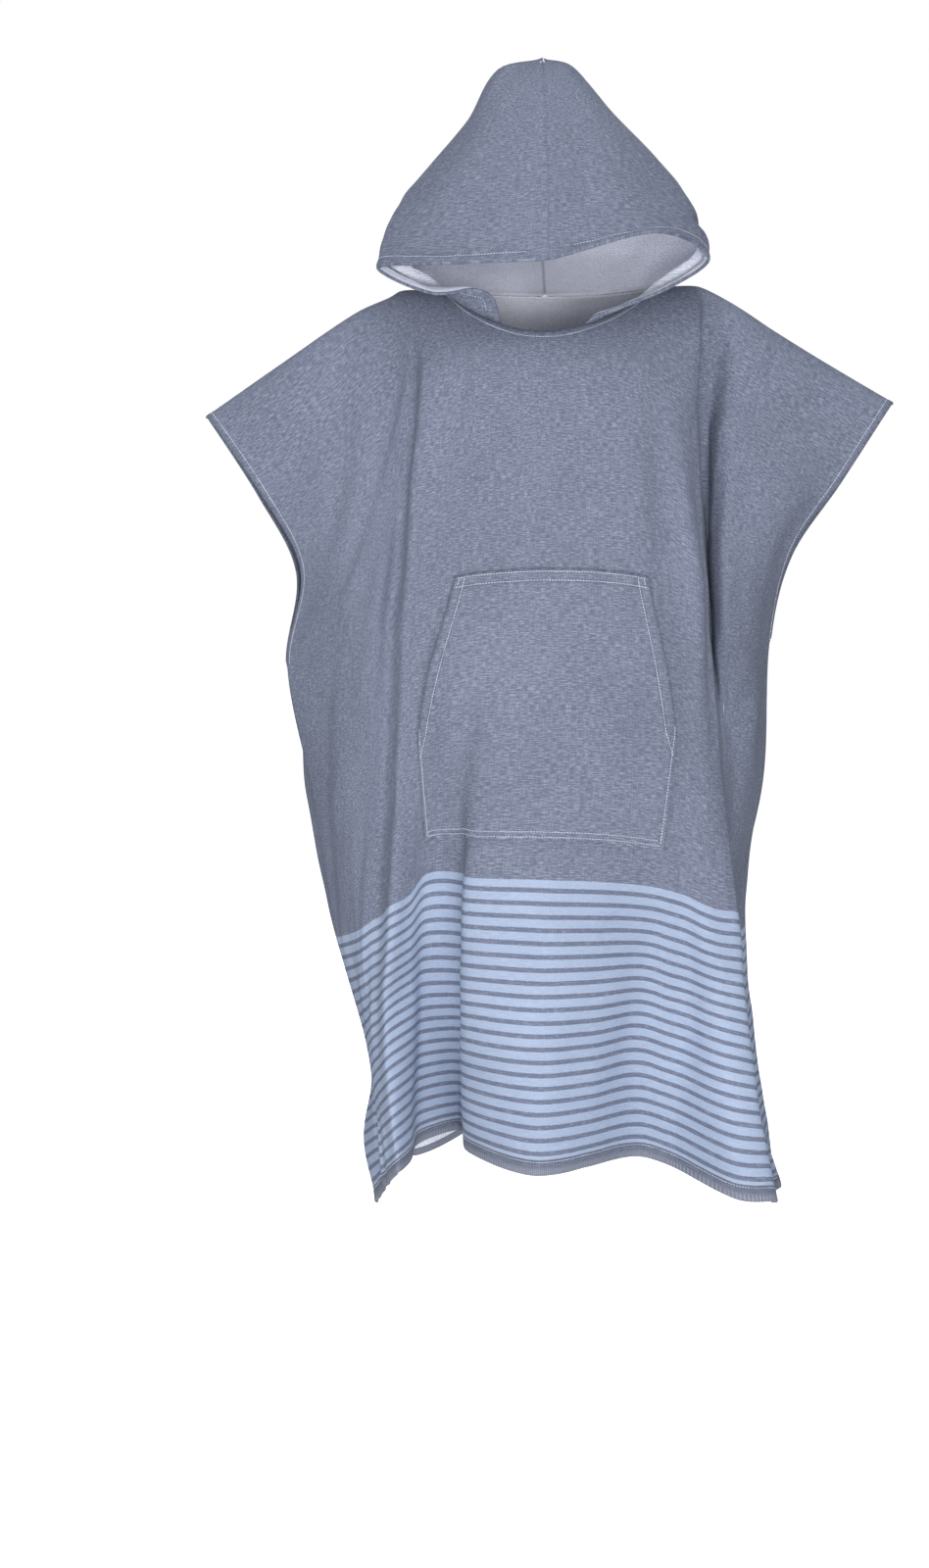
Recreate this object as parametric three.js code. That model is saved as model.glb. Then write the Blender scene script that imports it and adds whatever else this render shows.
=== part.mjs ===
// A hooded beach poncho of towelling cloth, hanging in its worn shape, open at neck, hood, arms and hem.
// Millimetres. X runs across the garment, -Y is its front, +Z is up.
// The origin is the middle of the shoulder line, where the wearer's shoulders hold it.
import * as THREE from 'three';

// ---- driving sizes of the cut ----
const HALF_WIDTH = 450;          // half of the flat panel's width
const LENGTH = 1070;             // shoulder fold to hem edge, along the cloth
const ARM_OPENING = 372;         // shoulder fold to the top of the side seam
const NECK_HALF_WIDTH = 130;     // the neck hole along the shoulder fold
const FRONT_NECK_DROP = 110;     // the neck hole's depth in the front panel
const BACK_NECK_DROP = 34;       // and in the back panel
const HOOD_FRONT_GAP = 54;       // the hood starts this far from the front's middle
const CLOTH = 2.6;               // panel thickness, woven face and terry pile together
const HEM_CLOTH = 4.2;           // thickness where the hem is turned up
const HEM_HEIGHT = 17;
const HOOD_CLOTH = 2.4;
const TAPE_CLOTH = 1.2;
const TAPE_WIDTH = 11;
const TAPE_CLEARANCE = 1.4;      // the tape lies straight over the hood's slightly twisted inner face
const POCKET_CLOTH = 2.2;
const SEAM_GAP = 0.3;            // clear space between two pieces at a seam
const NECK_CLEARANCE = 0.5;      // the same at the curved neck seam
const MITRE = 1.2;               // wall depth along a seam's own inward line, in cloth thicknesses

// ---- where the lengthwise folds lie ----
// Lengths down the cloth, from the shoulder fold, at which the fold tables give a place.
const SECTIONS = {
  shoulder: 0,
  collar: 120,
  chest: 240,
  underarm: ARM_OPENING,
  waist: 545,
  stripes: 732,
  knee: 900,
  hem: LENGTH,
};
const SECTION_DOWN = Object.values(SECTIONS);

// Just above the hem the left edge swings out: the swing's middle and half its length down the cloth, where
// across the cloth it begins, and how far the edge goes.
const SWING = { down: 990, reach: 80, from: -290, size: 14 };

// One row for each fold line of the front: name, place across the flat cloth, then [x, y, z] at each section.
const FRONT_FOLDS = [
  ['left edge', -450, [-401, 8, -154], [-336, -22, -244], [-288, -36, -335], [-311, 22, -450],
    [-282, 42, -609], [-254, 42, -783], [-214, 46, -946], [-207, -4, -1102]],
  ['left flank', -350, [-312, 3, -94], [-250, -56, -193], [-230, -86, -301], [-247, -58, -414],
    [-246, -36, -582], [-233, -10, -768], [-210, -14, -923], [-195, -46, -1073]],
  ['left slope', -262, [-225, -3, -37], [-183, -70, -135], [-188, -97, -269], [-198, -98, -386],
    [-208, -75, -558], [-217, -36, -756], [-208, -31, -914], [-190, -64, -1060]],
  ['left valley', -215, [-184, -6, -19], [-159, -79, -110], [-169, -98, -242], [-180, -98, -368],
    [-191, -83, -543], [-203, -52, -742], [-202, -46, -902], [-184, -78, -1049]],
  ['left ridge', -188, [-170, -9, -12], [-144, -93, -101], [-154, -116, -223], [-163, -118, -351],
    [-173, -108, -525], [-184, -88, -722], [-190, -76, -882], [-174, -94, -1036]],
  ['left tuck', -150, [-147, -10, -11], [-118, -104, -93], [-123, -123, -214], [-138, -124, -341],
    [-150, -114, -517], [-160, -83, -709], [-160, -54, -864], [-161, -62, -1032]],
  ['left floor', -122, [-124, -12, -11], [-101, -108, -85], [-99, -130, -205], [-113, -134, -334],
    [-128, -126, -509], [-141, -79, -686], [-146, -30, -860], [-151, -6, -1027]],
  ['left wall', -88, [-102, -12, -11], [-83, -112, -81], [-75, -138, -201], [-84, -144, -329],
    [-96, -140, -500], [-102, -95, -682], [-103, -41, -856], [-103, 22, -1019]],
  ['left crest', -55, [-67, -12, -11], [-56, -114, -79], [-45, -145, -198], [-53, -151, -326],
    [-61, -151, -497], [-91, -133, -681], [-98, -113, -850], [-95, -71, -1018]],
  ['centre', 0, [-3, -12, -11], [-13, -116, -77], [-7, -148, -196], [-7, -155, -324],
    [-6, -158, -494], [-15, -152, -681], [-20, -158, -849], [-23, -157, -1020]],
  ['right crest', 62, [62, -12, -10], [44, -113, -81], [52, -143, -200], [55, -150, -326],
    [56, -152, -497], [51, -146, -684], [48, -140, -850], [46, -132, -1018]],
  ['right hollow', 112, [110, -11, -9], [90, -106, -90], [98, -133, -205], [106, -139, -333],
    [109, -139, -504], [113, -128, -692], [110, -106, -851], [104, -88, -1019]],
  ['right wall', 150, [143, -10, -7], [117, -100, -101], [130, -123, -217], [141, -128, -346],
    [149, -126, -515], [153, -128, -703], [152, -112, -864], [144, -102, -1026]],
  ['right front', 182, [165, -9, -6], [149, -92, -119], [156, -116, -237], [169, -120, -361],
    [177, -112, -529], [189, -128, -718], [201, -142, -875], [210, -174, -1042]],
  ['right edge', 205, [179, -7, -8], [167, -78, -129], [168, -98, -251], [177, -104, -370],
    [193, -92, -541], [217, -116, -724], [231, -134, -885], [256, -170, -1046]],
  ['right tuck', 250, [207, -4, -21], [186, -36, -140], [184, -44, -262], [187, -50, -382],
    [203, -72, -556], [212, -68, -742], [226, -80, -902], [258, -142, -1056]],
  ['right lip', 278, [233, -2, -36], [202, -58, -150], [186, -72, -273], [190, -78, -390],
    [210, -60, -566], [213, -55, -753], [222, -64, -914], [261, -116, -1062]],
  ['right slope', 306, [261, 0, -54], [222, -64, -162], [200, -88, -284], [203, -90, -398],
    [220, -44, -576], [218, -34, -764], [225, -36, -926], [264, -90, -1067]],
  ['right flank', 362, [322, 4, -90], [266, -56, -186], [240, -84, -300], [236, -62, -410],
    [247, -8, -584], [222, 12, -776], [240, 12, -942], [273, -52, -1074]],
  ['right edge', 450, [407, 8, -138], [344, -22, -229], [285, -30, -313], [271, 28, -421],
    [270, 58, -592], [234, 66, -789], [257, 56, -961], [289, -14, -1079]],
];

// The same for the back. Its two edges leave the shoulder and join the front's below the arm openings.
const BACK_FOLDS = [
  ['left edge', -450, [-401, 8, -154], [-343, 22, -246], [-300, 46, -338], [-311, 22, -450],
    [-282, 42, -609], [-254, 42, -783], [-214, 46, -946], [-207, -4, -1102]],
  ['left flank', -350, [-312, 3, -94], [-268, 58, -190], [-262, 92, -302], [-284, 92, -424],
    [-290, 98, -594], [-259, 106, -774], [-214, 88, -934], [-205, 64, -1088]],
  ['left slope', -262, [-225, -3, -37], [-196, 72, -128], [-204, 110, -240], [-226, 126, -366],
    [-232, 132, -540], [-232, 128, -728], [-198, 120, -892], [-184, 112, -1074]],
  ['left valley', -205, [-178, -7, -16], [-146, 78, -100], [-152, 102, -218], [-170, 102, -350],
    [-182, 96, -524], [-186, 88, -711], [-175, 86, -880], [-156, 82, -1068]],
  ['left ridge', -150, [-147, -10, -11], [-108, 80, -92], [-112, 122, -206], [-122, 140, -338],
    [-130, 148, -512], [-130, 146, -700], [-124, 134, -868], [-108, 114, -1054]],
  ['left hollow', -75, [-84, -12, -11], [-62, 84, -66], [-62, 112, -182], [-62, 122, -314],
    [-62, 130, -488], [-60, 138, -676], [-58, 148, -846], [-52, 158, -1026]],
  ['centre', 0, [-3, -12, -11], [-5, 84, -60], [-6, 118, -175], [-4, 134, -306],
    [-2, 147, -479], [2, 158, -666], [6, 166, -835], [10, 172, -1010]],
  ['right hollow', 75, [76, -12, -11], [62, 84, -66], [62, 110, -182], [66, 118, -314],
    [72, 122, -488], [80, 122, -676], [88, 122, -846], [94, 124, -1022]],
  ['right ridge', 150, [143, -10, -7], [108, 80, -92], [114, 122, -206], [124, 140, -338],
    [136, 150, -512], [150, 158, -700], [162, 166, -868], [172, 174, -1042]],
  ['right valley', 205, [179, -7, -8], [146, 78, -100], [154, 100, -218], [168, 94, -350],
    [182, 88, -524], [194, 90, -711], [206, 94, -880], [216, 98, -1056]],
  ['right slope', 262, [216, -3, -27], [192, 72, -124], [200, 108, -240], [214, 120, -366],
    [226, 126, -540], [236, 130, -728], [250, 130, -892], [262, 128, -1066]],
  ['right flank', 350, [311, 3, -83], [266, 58, -178], [256, 90, -292], [252, 92, -404],
    [264, 104, -580], [256, 106, -774], [274, 98, -942], [288, 60, -1082]],
  ['right edge', 450, [407, 8, -138], [351, 22, -231], [297, 42, -318], [271, 28, -421],
    [270, 58, -592], [234, 66, -789], [257, 56, -961], [289, -14, -1079]],
];

// ---- the hood ----
// Bands of the hood from the neck seam up to the crown. Each row: height share, then [x, y, z] on the opening
// edge or front seam, on the front face, at the side, on the back face and on the back seam.
const HOOD_PLACES = [0, 0.25, 0.5, 0.78, 1];
const HOOD_LEFT_BANDS = [
  ['neck', 0, [-57, -103, -61], [-89, -74, -42], [-130, -12, -11], [-74, 14, -14], [-4, 22, -14]],
  ['fold', 0.06, [-72, -112, -30], [-121, -69, -25], [-142, -3, 4], [-84, 35, 8], [-4, 47, 9]],
  ['flap', 0.15, [-134, -98, -28], [-168, -62, 0], [-160, 10, 26], [-98, 66, 40], [-4, 84, 44]],
  ['corner', 0.3, [-196, -66, 6], [-192, -36, 30], [-164, 32, 60], [-100, 88, 84], [-4, 104, 92]],
  ['brim side', 0.45, [-128, -138, 0], [-178, -58, 50], [-166, 18, 94], [-100, 90, 128], [-5, 108, 136]],
  ['brim middle', 0.6, [-6, -168, 0], [-116, -92, 76], [-150, 0, 116], [-92, 72, 160], [-6, 98, 176]],
  ['face', 0.78, [-4, -116, 96], [-80, -66, 148], [-94, 4, 182], [-64, 46, 204], [-7, 72, 216]],
  ['brow', 0.92, [-7, -50, 204], [-42, -26, 226], [-58, 2, 240], [-38, 20, 240], [-8, 36, 240]],
  ['crown', 1, [-8, -18, 247], [-8, -6, 251], [-8, 4, 252], [-8, 14, 251], [-8, 24, 247]],
];
const HOOD_RIGHT_BANDS = [
  ['neck', 0, [45, -103, -61], [89, -74, -42], [128, -12, -8], [74, 14, -14], [-4, 22, -14]],
  ['fold', 0.06, [62, -110, -52], [121, -68, -24], [142, -2, 8], [84, 36, 9], [-4, 47, 9]],
  ['flap', 0.15, [132, -96, -22], [172, -58, 8], [160, 14, 34], [96, 68, 42], [-4, 84, 44]],
  ['corner', 0.3, [180, -66, 18], [180, -30, 44], [158, 34, 70], [98, 90, 90], [-4, 104, 92]],
  ['brim side', 0.45, [112, -138, 34], [162, -56, 70], [150, 18, 108], [98, 92, 134], [-5, 108, 136]],
  ['brim middle', 0.6, [-6, -168, 0], [104, -90, 88], [130, 2, 136], [80, 70, 166], [-6, 98, 176]],
  ['face', 0.78, [-4, -116, 96], [62, -68, 154], [76, 2, 190], [50, 44, 206], [-7, 72, 216]],
  ['brow', 0.92, [-7, -50, 204], [18, -30, 230], [26, 2, 244], [22, 20, 243], [-8, 36, 240]],
  ['crown', 1, [-8, -18, 247], [-8, -6, 251], [-8, 4, 252], [-8, 14, 251], [-8, 24, 247]],
];
const BRIM_MIDDLE = 0.6;         // height share at which the opening edge turns into the front seam
const CORNER_REACH = 0.25;       // how far from the opening edge that turn still shows
const HOOD_NECK_BLEND = 0.3;     // height share over which the hood settles on the true neck seam

// ---- the pocket, a hexagon on the front panel ----
// Each row: name, length down the cloth, then the left and right edge across it.
const POCKET_OUTLINE = [
  ['top', 382, -112, 112],
  ['elbow', 556, -146, 142],
  ['bottom', 686, -126, 126],
];
const POCKET_BULGE = 12;         // how far the loose middle stands off the panel
const POCKET_CLEARANCE = 1.5;    // and how far its sewn edges do

// ---- grids ----
// Columns that the panels and the hood share round the neck: front ones, then back ones, from gap to middle.
const FRONT_NECK_COLUMNS = [HOOD_FRONT_GAP, 67, 80, 93, 106, 118, NECK_HALF_WIDTH];
const BACK_NECK_COLUMNS = [NECK_HALF_WIDTH, 112, 93, 74, 54, 27, 0];
const STEPS_BETWEEN_FOLDS = 2;
const ROWS_TO_UNDERARM = 8;
const ROWS_TO_HEM = 14;
const HOOD_ROWS = 20;
const POCKET_ROWS = 10;
const POCKET_COLUMNS = 16;

const CHAMBRAY = { color: 0x9299b2, roughness: 0.9, metalness: 0 };
const TAPE = { color: 0xc9cfe2, roughness: 0.85, metalness: 0 };

// A smooth curve through knots: value(at) for numbers, with slopes from the neighbouring knots.
function smooth(knots, values, at) {
  const last = knots.length - 1;
  let i = 0;
  while (i < last - 1 && at > knots[i + 1]) i++;
  const slope = (k) => {
    const a = Math.max(k - 1, 0);
    const b = Math.min(k + 1, last);
    return (values[b] - values[a]) / (knots[b] - knots[a]);
  };
  const span = knots[i + 1] - knots[i];
  const t = (at - knots[i]) / span;
  const rise = values[i + 1] - values[i];
  const early = slope(i) * span;
  const late = slope(i + 1) * span;
  return values[i] + t * (early + t * (3 * rise - 2 * early - late + t * (early + late - 2 * rise)));
}

const point = (pickAxis) => new THREE.Vector3(pickAxis('x', 0), pickAxis('y', 1), pickAxis('z', 2));

// A smooth surface through a table of rows [name, knot, point, point, ...].
function surfaceOf(table, columnKnots) {
  const rowKnots = table.map((row) => row[1]);
  return (rowAt, columnAt) => point((_, axis) => {
    const along = columnKnots.map((_knot, c) => smooth(rowKnots, table.map((row) => row[c + 2][axis]), rowAt));
    return smooth(columnKnots, along, columnAt);
  });
}

// How far left a point of a panel lies because the left edge swings out.
function swingAt(across, down) {
  const along = Math.max(1 - ((down - SWING.down) / SWING.reach) ** 2, 0);
  const over = Math.max((SWING.from - across) / (SWING.from + HALF_WIDTH), 0);
  return SWING.size * along ** 2 * over ** 2;
}

// A panel's surface: its own fold table, entered from the other panel's collar so that it rounds the shoulder.
function panelSurface(own, other) {
  const otherAt = surfaceOf(other, SECTION_DOWN);
  const ownKnots = own.map((row) => row[1]);
  const knots = [-SECTIONS.collar, ...SECTION_DOWN];
  return (across, down) => {
    const beyond = otherAt(across, SECTIONS.collar).toArray();
    const spot = point((_, axis) => {
      const along = SECTION_DOWN.map((_knot, c) => smooth(ownKnots, own.map((row) => row[c + 2][axis]), across));
      return smooth(knots, [beyond[axis], ...along], down);
    });
    spot.x -= swingAt(across, down);
    return spot;
  };
}

const frontPoint = panelSurface(FRONT_FOLDS, BACK_FOLDS);
const backSurface = panelSurface(BACK_FOLDS, FRONT_FOLDS);

// How far down the cloth a panel's upper edge lies: 0 on the shoulder, more in the neck hole.
function neckEdge(across, drop) {
  const share = Math.min(Math.abs(across) / NECK_HALF_WIDTH, 1);
  return drop * (1 - share ** 2) ** 0.75;
}

// Columns of both panels: the shared ones round the neck, then each fold line and even steps between.
function panelColumns() {
  const middle = [...FRONT_NECK_COLUMNS, HOOD_FRONT_GAP / 2];
  const columns = [0, ...middle, ...middle.map((across) => -across)];
  FRONT_FOLDS.slice(0, -1).forEach(([, across], i) => {
    const next = FRONT_FOLDS[i + 1][1];
    for (let k = 0; k < STEPS_BETWEEN_FOLDS; k++) {
      const at = across + (next - across) * k / STEPS_BETWEEN_FOLDS;
      if (Math.abs(at) > NECK_HALF_WIDTH) columns.push(at);
    }
  });
  columns.push(HALF_WIDTH);
  return columns.sort((a, b) => a - b);
}

// The back's columns, the same outside the neck.
function backColumns() {
  const middle = BACK_NECK_COLUMNS.filter((across) => across > 0);
  const outside = panelColumns().filter((across) => Math.abs(across) > NECK_HALF_WIDTH);
  return [...outside, ...middle, 0, ...middle.map((across) => -across)].sort((a, b) => a - b);
}

// Rows of a panel as shares of its length, with a pair that steps up to the turned hem.
function panelRows() {
  const underarm = ARM_OPENING / LENGTH;
  const hemTop = 1 - HEM_HEIGHT / LENGTH;
  const step = 0.003;
  const rows = [];
  for (let i = 0; i < ROWS_TO_UNDERARM; i++) rows.push(underarm * i / ROWS_TO_UNDERARM);
  for (let i = 0; i < ROWS_TO_HEM; i++) rows.push(underarm + (hemTop - step - underarm) * i / ROWS_TO_HEM);
  rows.push(hemTop - step, hemTop, 1);
  return rows;
}

// A closed wall between an outer and an inner grid of points. The end strip along the first row is split by
// one diagonal or, where the wall stands on such a strip of another, by the opposite one.
function wallGeometry(outer, inner, standsOnStrip) {
  const rows = outer.length;
  const columns = outer[0].length;
  const positions = [];
  for (const layer of [outer, inner]) {
    for (const row of layer) {
      for (const point of row) positions.push(point.x, point.y, point.z);
    }
  }
  const at = (layer, row, column) => (layer * rows + row) * columns + column;
  const index = [];
  const quad = (a, b, c, d) => index.push(a, b, c, a, c, d);
  for (let r = 0; r < rows - 1; r++) {
    for (let c = 0; c < columns - 1; c++) {
      quad(at(0, r, c), at(0, r + 1, c), at(0, r + 1, c + 1), at(0, r, c + 1));
      quad(at(1, r, c), at(1, r, c + 1), at(1, r + 1, c + 1), at(1, r + 1, c));
    }
  }
  for (let c = 0; c < columns - 1; c++) {
    if (standsOnStrip) quad(at(0, 0, c + 1), at(1, 0, c + 1), at(1, 0, c), at(0, 0, c));
    else quad(at(0, 0, c), at(0, 0, c + 1), at(1, 0, c + 1), at(1, 0, c));
    quad(at(0, rows - 1, c), at(1, rows - 1, c), at(1, rows - 1, c + 1), at(0, rows - 1, c + 1));
  }
  for (let r = 0; r < rows - 1; r++) {
    quad(at(0, r, 0), at(1, r, 0), at(1, r + 1, 0), at(0, r + 1, 0));
    quad(at(0, r, columns - 1), at(0, r + 1, columns - 1), at(1, r + 1, columns - 1), at(1, r, columns - 1));
  }
  const geometry = new THREE.BufferGeometry();
  geometry.setAttribute('position', new THREE.Float32BufferAttribute(positions, 3));
  geometry.setIndex(index);
  return geometry;
}

// The inward unit normal at each point of a grid whose quads face outwards as wallGeometry winds them.
function inwardNormals(grid) {
  const rows = grid.length;
  const columns = grid[0].length;
  return grid.map((row, r) => row.map((point, c) => {
    const down = grid[Math.min(r + 1, rows - 1)][c].clone().sub(grid[Math.max(r - 1, 0)][c]);
    const over = row[Math.min(c + 1, columns - 1)].clone().sub(row[Math.max(c - 1, 0)]);
    return over.cross(down).normalize();
  }));
}

function cloth(name, outer, inner, look, standsOnStrip = false) {
  const mesh = new THREE.Mesh(wallGeometry(outer, inner, standsOnStrip), new THREE.MeshStandardMaterial(look));
  mesh.name = name;
  return mesh;
}

// ---- places on the garment ----
const SHOULDER_BLEND = 60;       // length over which the back settles on the front's shoulder line
const EDGE_BLEND = 60;           // width over which it settles on the front's side edge

function backPoint(across, down) {
  const point = backSurface(across, down);
  const nearShoulder = Math.max(1 - down / SHOULDER_BLEND, 0) ** 2;
  point.addScaledVector(frontPoint(across, 0).sub(backSurface(across, 0)), nearShoulder);
  const nearEdge = Math.max(1 - (HALF_WIDTH - Math.abs(across)) / EDGE_BLEND, 0);
  if (down > ARM_OPENING && nearEdge > 0) {
    const edge = Math.sign(across) * HALF_WIDTH;
    point.addScaledVector(frontPoint(edge, down).sub(backSurface(edge, down)), nearEdge);
  }
  return point;
}

// The level line that points into the neck hole from its seam, the bisector of hood and panel there.
const NECK_AXIS = new THREE.Vector3(-2, -38, 0);
const intoNeck = (from) => new THREE.Vector3(NECK_AXIS.x - from.x, NECK_AXIS.y - from.y, 0).normalize();

// One panel's wall. side is -1 for the front and 1 for the back.
function panel(name, pointAt, columns, neckDrop, side) {
  const shares = panelRows();
  const order = side < 0 ? columns : [...columns].reverse();
  const outer = shares.map((share) => order.map((across) => {
    const down = share * LENGTH + neckEdge(across, neckDrop) * (1 - share) ** 3;
    return pointAt(across, down);
  }));
  const normals = inwardNormals(outer);
  const inner = outer.map((row, r) => row.map((point, c) => {
    const across = order[c];
    const down = shares[r] * LENGTH;
    const thick = down > LENGTH - HEM_HEIGHT - 1 ? HEM_CLOTH : CLOTH;
    const offset = normals[r][c].clone().multiplyScalar(thick);
    if (r === 0 && Math.abs(across) < NECK_HALF_WIDTH) {
      return point.clone().addScaledVector(intoNeck(point), thick * MITRE);
    }
    if (r === 0) {
      const over = row[Math.min(c + 1, row.length - 1)].clone().sub(row[Math.max(c - 1, 0)]).setY(0).normalize();
      const under = new THREE.Vector3(0, 0, -1).addScaledVector(over, over.z).normalize();
      return point.clone().addScaledVector(under, thick * MITRE);
    }
    if (Math.abs(across) === HALF_WIDTH) {
      const sewn = THREE.MathUtils.smoothstep(down, ARM_OPENING - EDGE_BLEND, ARM_OPENING);
      offset.lerp(new THREE.Vector3(-Math.sign(across) * thick * MITRE, 0, 0), sewn);
    }
    return point.clone().add(offset);
  }));
  const apart = side * SEAM_GAP / 2;
  outer.forEach((row, r) => row.forEach((point, c) => {
    if (Math.abs(order[c]) === HALF_WIDTH || (r === 0 && Math.abs(order[c]) >= NECK_HALF_WIDTH)) {
      point.y += apart;
      inner[r][c].y += apart;
    }
  }));
  return cloth(name, outer, inner, CHAMBRAY);
}

// The neck seam from the hood's front corner round one shoulder to the middle of the back.
function neckSeam(side) {
  const front = FRONT_NECK_COLUMNS.map((across) => frontPoint(side * across, neckEdge(across, FRONT_NECK_DROP)));
  const back = BACK_NECK_COLUMNS.slice(1).map((across) => backPoint(side * across, neckEdge(across, BACK_NECK_DROP)));
  return [...front, ...back];
}

// Half of the hood as grids of outer and inner points, rows from neck to crown, columns from front to back.
function hoodHalf(side) {
  const bands = side < 0 ? HOOD_LEFT_BANDS : HOOD_RIGHT_BANDS;
  const whole = surfaceOf(bands, HOOD_PLACES);
  const lower = surfaceOf(bands.filter((band) => band[1] <= BRIM_MIDDLE), HOOD_PLACES);
  const upper = surfaceOf(bands.filter((band) => band[1] >= BRIM_MIDDLE), HOOD_PLACES);
  const hoodPoint = (height, place) => {
    const part = height <= BRIM_MIDDLE ? lower(height, place) : upper(height, place);
    return part.lerp(whole(height, place), THREE.MathUtils.smoothstep(place, 0, CORNER_REACH));
  };
  const seam = neckSeam(side);
  const last = seam.length - 1;
  const outer = [];
  for (let r = 0; r <= HOOD_ROWS; r++) {
    const height = r / HOOD_ROWS;
    const settle = Math.max(1 - height / HOOD_NECK_BLEND, 0) ** 2;
    outer.push(seam.map((neck, c) => {
      const place = c / last;
      const start = neck.clone().setZ(neck.z + NECK_CLEARANCE);
      return hoodPoint(height, place).addScaledVector(start.sub(hoodPoint(0, place)), settle);
    }));
  }
  const flip = side > 0 ? -1 : 1;
  const normals = inwardNormals(outer);
  const inner = outer.map((row, r) => row.map((point, c) => {
    const offset = normals[r][c].multiplyScalar(flip);
    const onSeam = c === last || r === HOOD_ROWS || (c === 0 && r / HOOD_ROWS >= BRIM_MIDDLE);
    if (r === 0) offset.copy(intoNeck(point)).multiplyScalar(MITRE);
    if (onSeam) offset.setX(0).normalize();
    return point.clone().addScaledVector(offset, HOOD_CLOTH);
  }));
  const apart = side * SEAM_GAP / 2;
  for (const point of [...outer.flat(), ...inner.flat()]) point.x += apart;
  return { outer, inner };
}

// Columns of a grid in the order that faces its wall outwards on this side.
const facing = (grid, side) => (side < 0 ? grid : grid.map((row) => [...row].reverse()));

// The tape that lies inside the hood along its opening edge.
function hoodTape(name, hood, side) {
  const lay = [];
  const face = [];
  const lastRow = Math.floor(HOOD_ROWS * BRIM_MIDDLE);
  for (let r = 1; r < lastRow; r++) {
    const [edge, next] = hood.inner[r];
    const [edgeOut, nextOut] = hood.outer[r];
    const along = next.clone().sub(edge);
    const tangent = hood.inner[r + 1][0].clone().sub(hood.inner[r - 1][0]).normalize();
    const squareOff = along.clone().cross(tangent).length();
    const inset = 1;
    const near = edge.clone().addScaledVector(along, inset / squareOff);
    const far = edge.clone().addScaledVector(along, (TAPE_WIDTH + inset) / squareOff);
    const off = edge.clone().sub(edgeOut).add(next.clone().sub(nextOut)).normalize();
    lay.push([near, far].map((point) => point.clone().addScaledVector(off, TAPE_CLEARANCE)));
    face.push([near, far].map((point) => point.clone().addScaledVector(off, TAPE_CLEARANCE + TAPE_CLOTH)));
  }
  return cloth(name, facing(lay, side), facing(face, side), TAPE);
}

// The pocket: a patch that follows the front's points, moved out, loose in the middle and at the hands.
function pocket() {
  const knots = POCKET_OUTLINE.map((row) => row[1]);
  const [top, elbow, bottom] = knots;
  const edgeAt = (down, which) => {
    const i = down <= elbow ? 0 : 1;
    const t = (down - knots[i]) / (knots[i + 1] - knots[i]);
    return THREE.MathUtils.lerp(POCKET_OUTLINE[i][which], POCKET_OUTLINE[i + 1][which], t);
  };
  const reach = 4;
  const outwardAt = (across, down) => {
    const over = frontPoint(across + reach, down).sub(frontPoint(across - reach, down));
    const along = frontPoint(across, down + reach).sub(frontPoint(across, down - reach));
    return along.cross(over).normalize();
  };
  const outer = [];
  const inner = [];
  for (let r = 0; r <= POCKET_ROWS; r++) {
    const share = r / POCKET_ROWS;
    const down = THREE.MathUtils.lerp(top, bottom, share);
    const hand = down < elbow ? 0.75 * Math.sin(Math.PI * (down - top) / (elbow - top)) : 0;
    const outerRow = [];
    const innerRow = [];
    for (let c = 0; c <= POCKET_COLUMNS; c++) {
      const place = c / POCKET_COLUMNS;
      const across = THREE.MathUtils.lerp(edgeAt(down, 2), edgeAt(down, 3), place);
      const loose = hand + (1 - hand) * Math.sin(Math.PI * place);
      const stand = POCKET_CLEARANCE + POCKET_BULGE * Math.sin(Math.PI * share) * loose;
      const base = frontPoint(across, down);
      const outward = outwardAt(across, down);
      innerRow.push(base.clone().addScaledVector(outward, stand));
      outerRow.push(base.clone().addScaledVector(outward, stand + POCKET_CLOTH));
    }
    outer.push(outerRow);
    inner.push(innerRow);
  }
  return cloth('kangaroo_pocket', outer, inner, CHAMBRAY);
}

// ---- the garment ----
const poncho = new THREE.Group();
poncho.add(panel('front_panel', frontPoint, panelColumns(), FRONT_NECK_DROP, -1));
poncho.add(panel('back_panel', backPoint, backColumns(), BACK_NECK_DROP, 1));
for (const [word, side] of [['left', -1], ['right', 1]]) {
  const hood = hoodHalf(side);
  poncho.add(cloth(`hood_${word}`, facing(hood.outer, side), facing(hood.inner, side), CHAMBRAY, true));
  poncho.add(hoodTape(`hood_tape_${word}`, hood, side));
}
poncho.add(pocket());

export default poncho;
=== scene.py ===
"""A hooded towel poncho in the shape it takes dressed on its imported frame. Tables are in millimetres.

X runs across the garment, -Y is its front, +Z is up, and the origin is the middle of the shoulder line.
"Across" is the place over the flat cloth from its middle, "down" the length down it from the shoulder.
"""
import math

import bpy
import numpy as np
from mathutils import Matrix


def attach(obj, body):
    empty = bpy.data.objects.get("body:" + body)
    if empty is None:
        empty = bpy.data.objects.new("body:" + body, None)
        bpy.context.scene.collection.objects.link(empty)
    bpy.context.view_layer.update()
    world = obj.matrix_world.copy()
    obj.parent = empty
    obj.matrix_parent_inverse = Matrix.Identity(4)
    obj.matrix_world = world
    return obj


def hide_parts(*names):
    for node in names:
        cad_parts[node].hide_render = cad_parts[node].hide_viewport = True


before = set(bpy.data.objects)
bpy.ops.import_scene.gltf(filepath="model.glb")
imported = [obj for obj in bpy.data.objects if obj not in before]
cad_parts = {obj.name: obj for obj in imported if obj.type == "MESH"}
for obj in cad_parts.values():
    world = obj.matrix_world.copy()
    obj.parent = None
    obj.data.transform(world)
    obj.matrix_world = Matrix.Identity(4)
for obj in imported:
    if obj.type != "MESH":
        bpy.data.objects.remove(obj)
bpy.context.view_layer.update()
MM = 0.001

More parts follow.
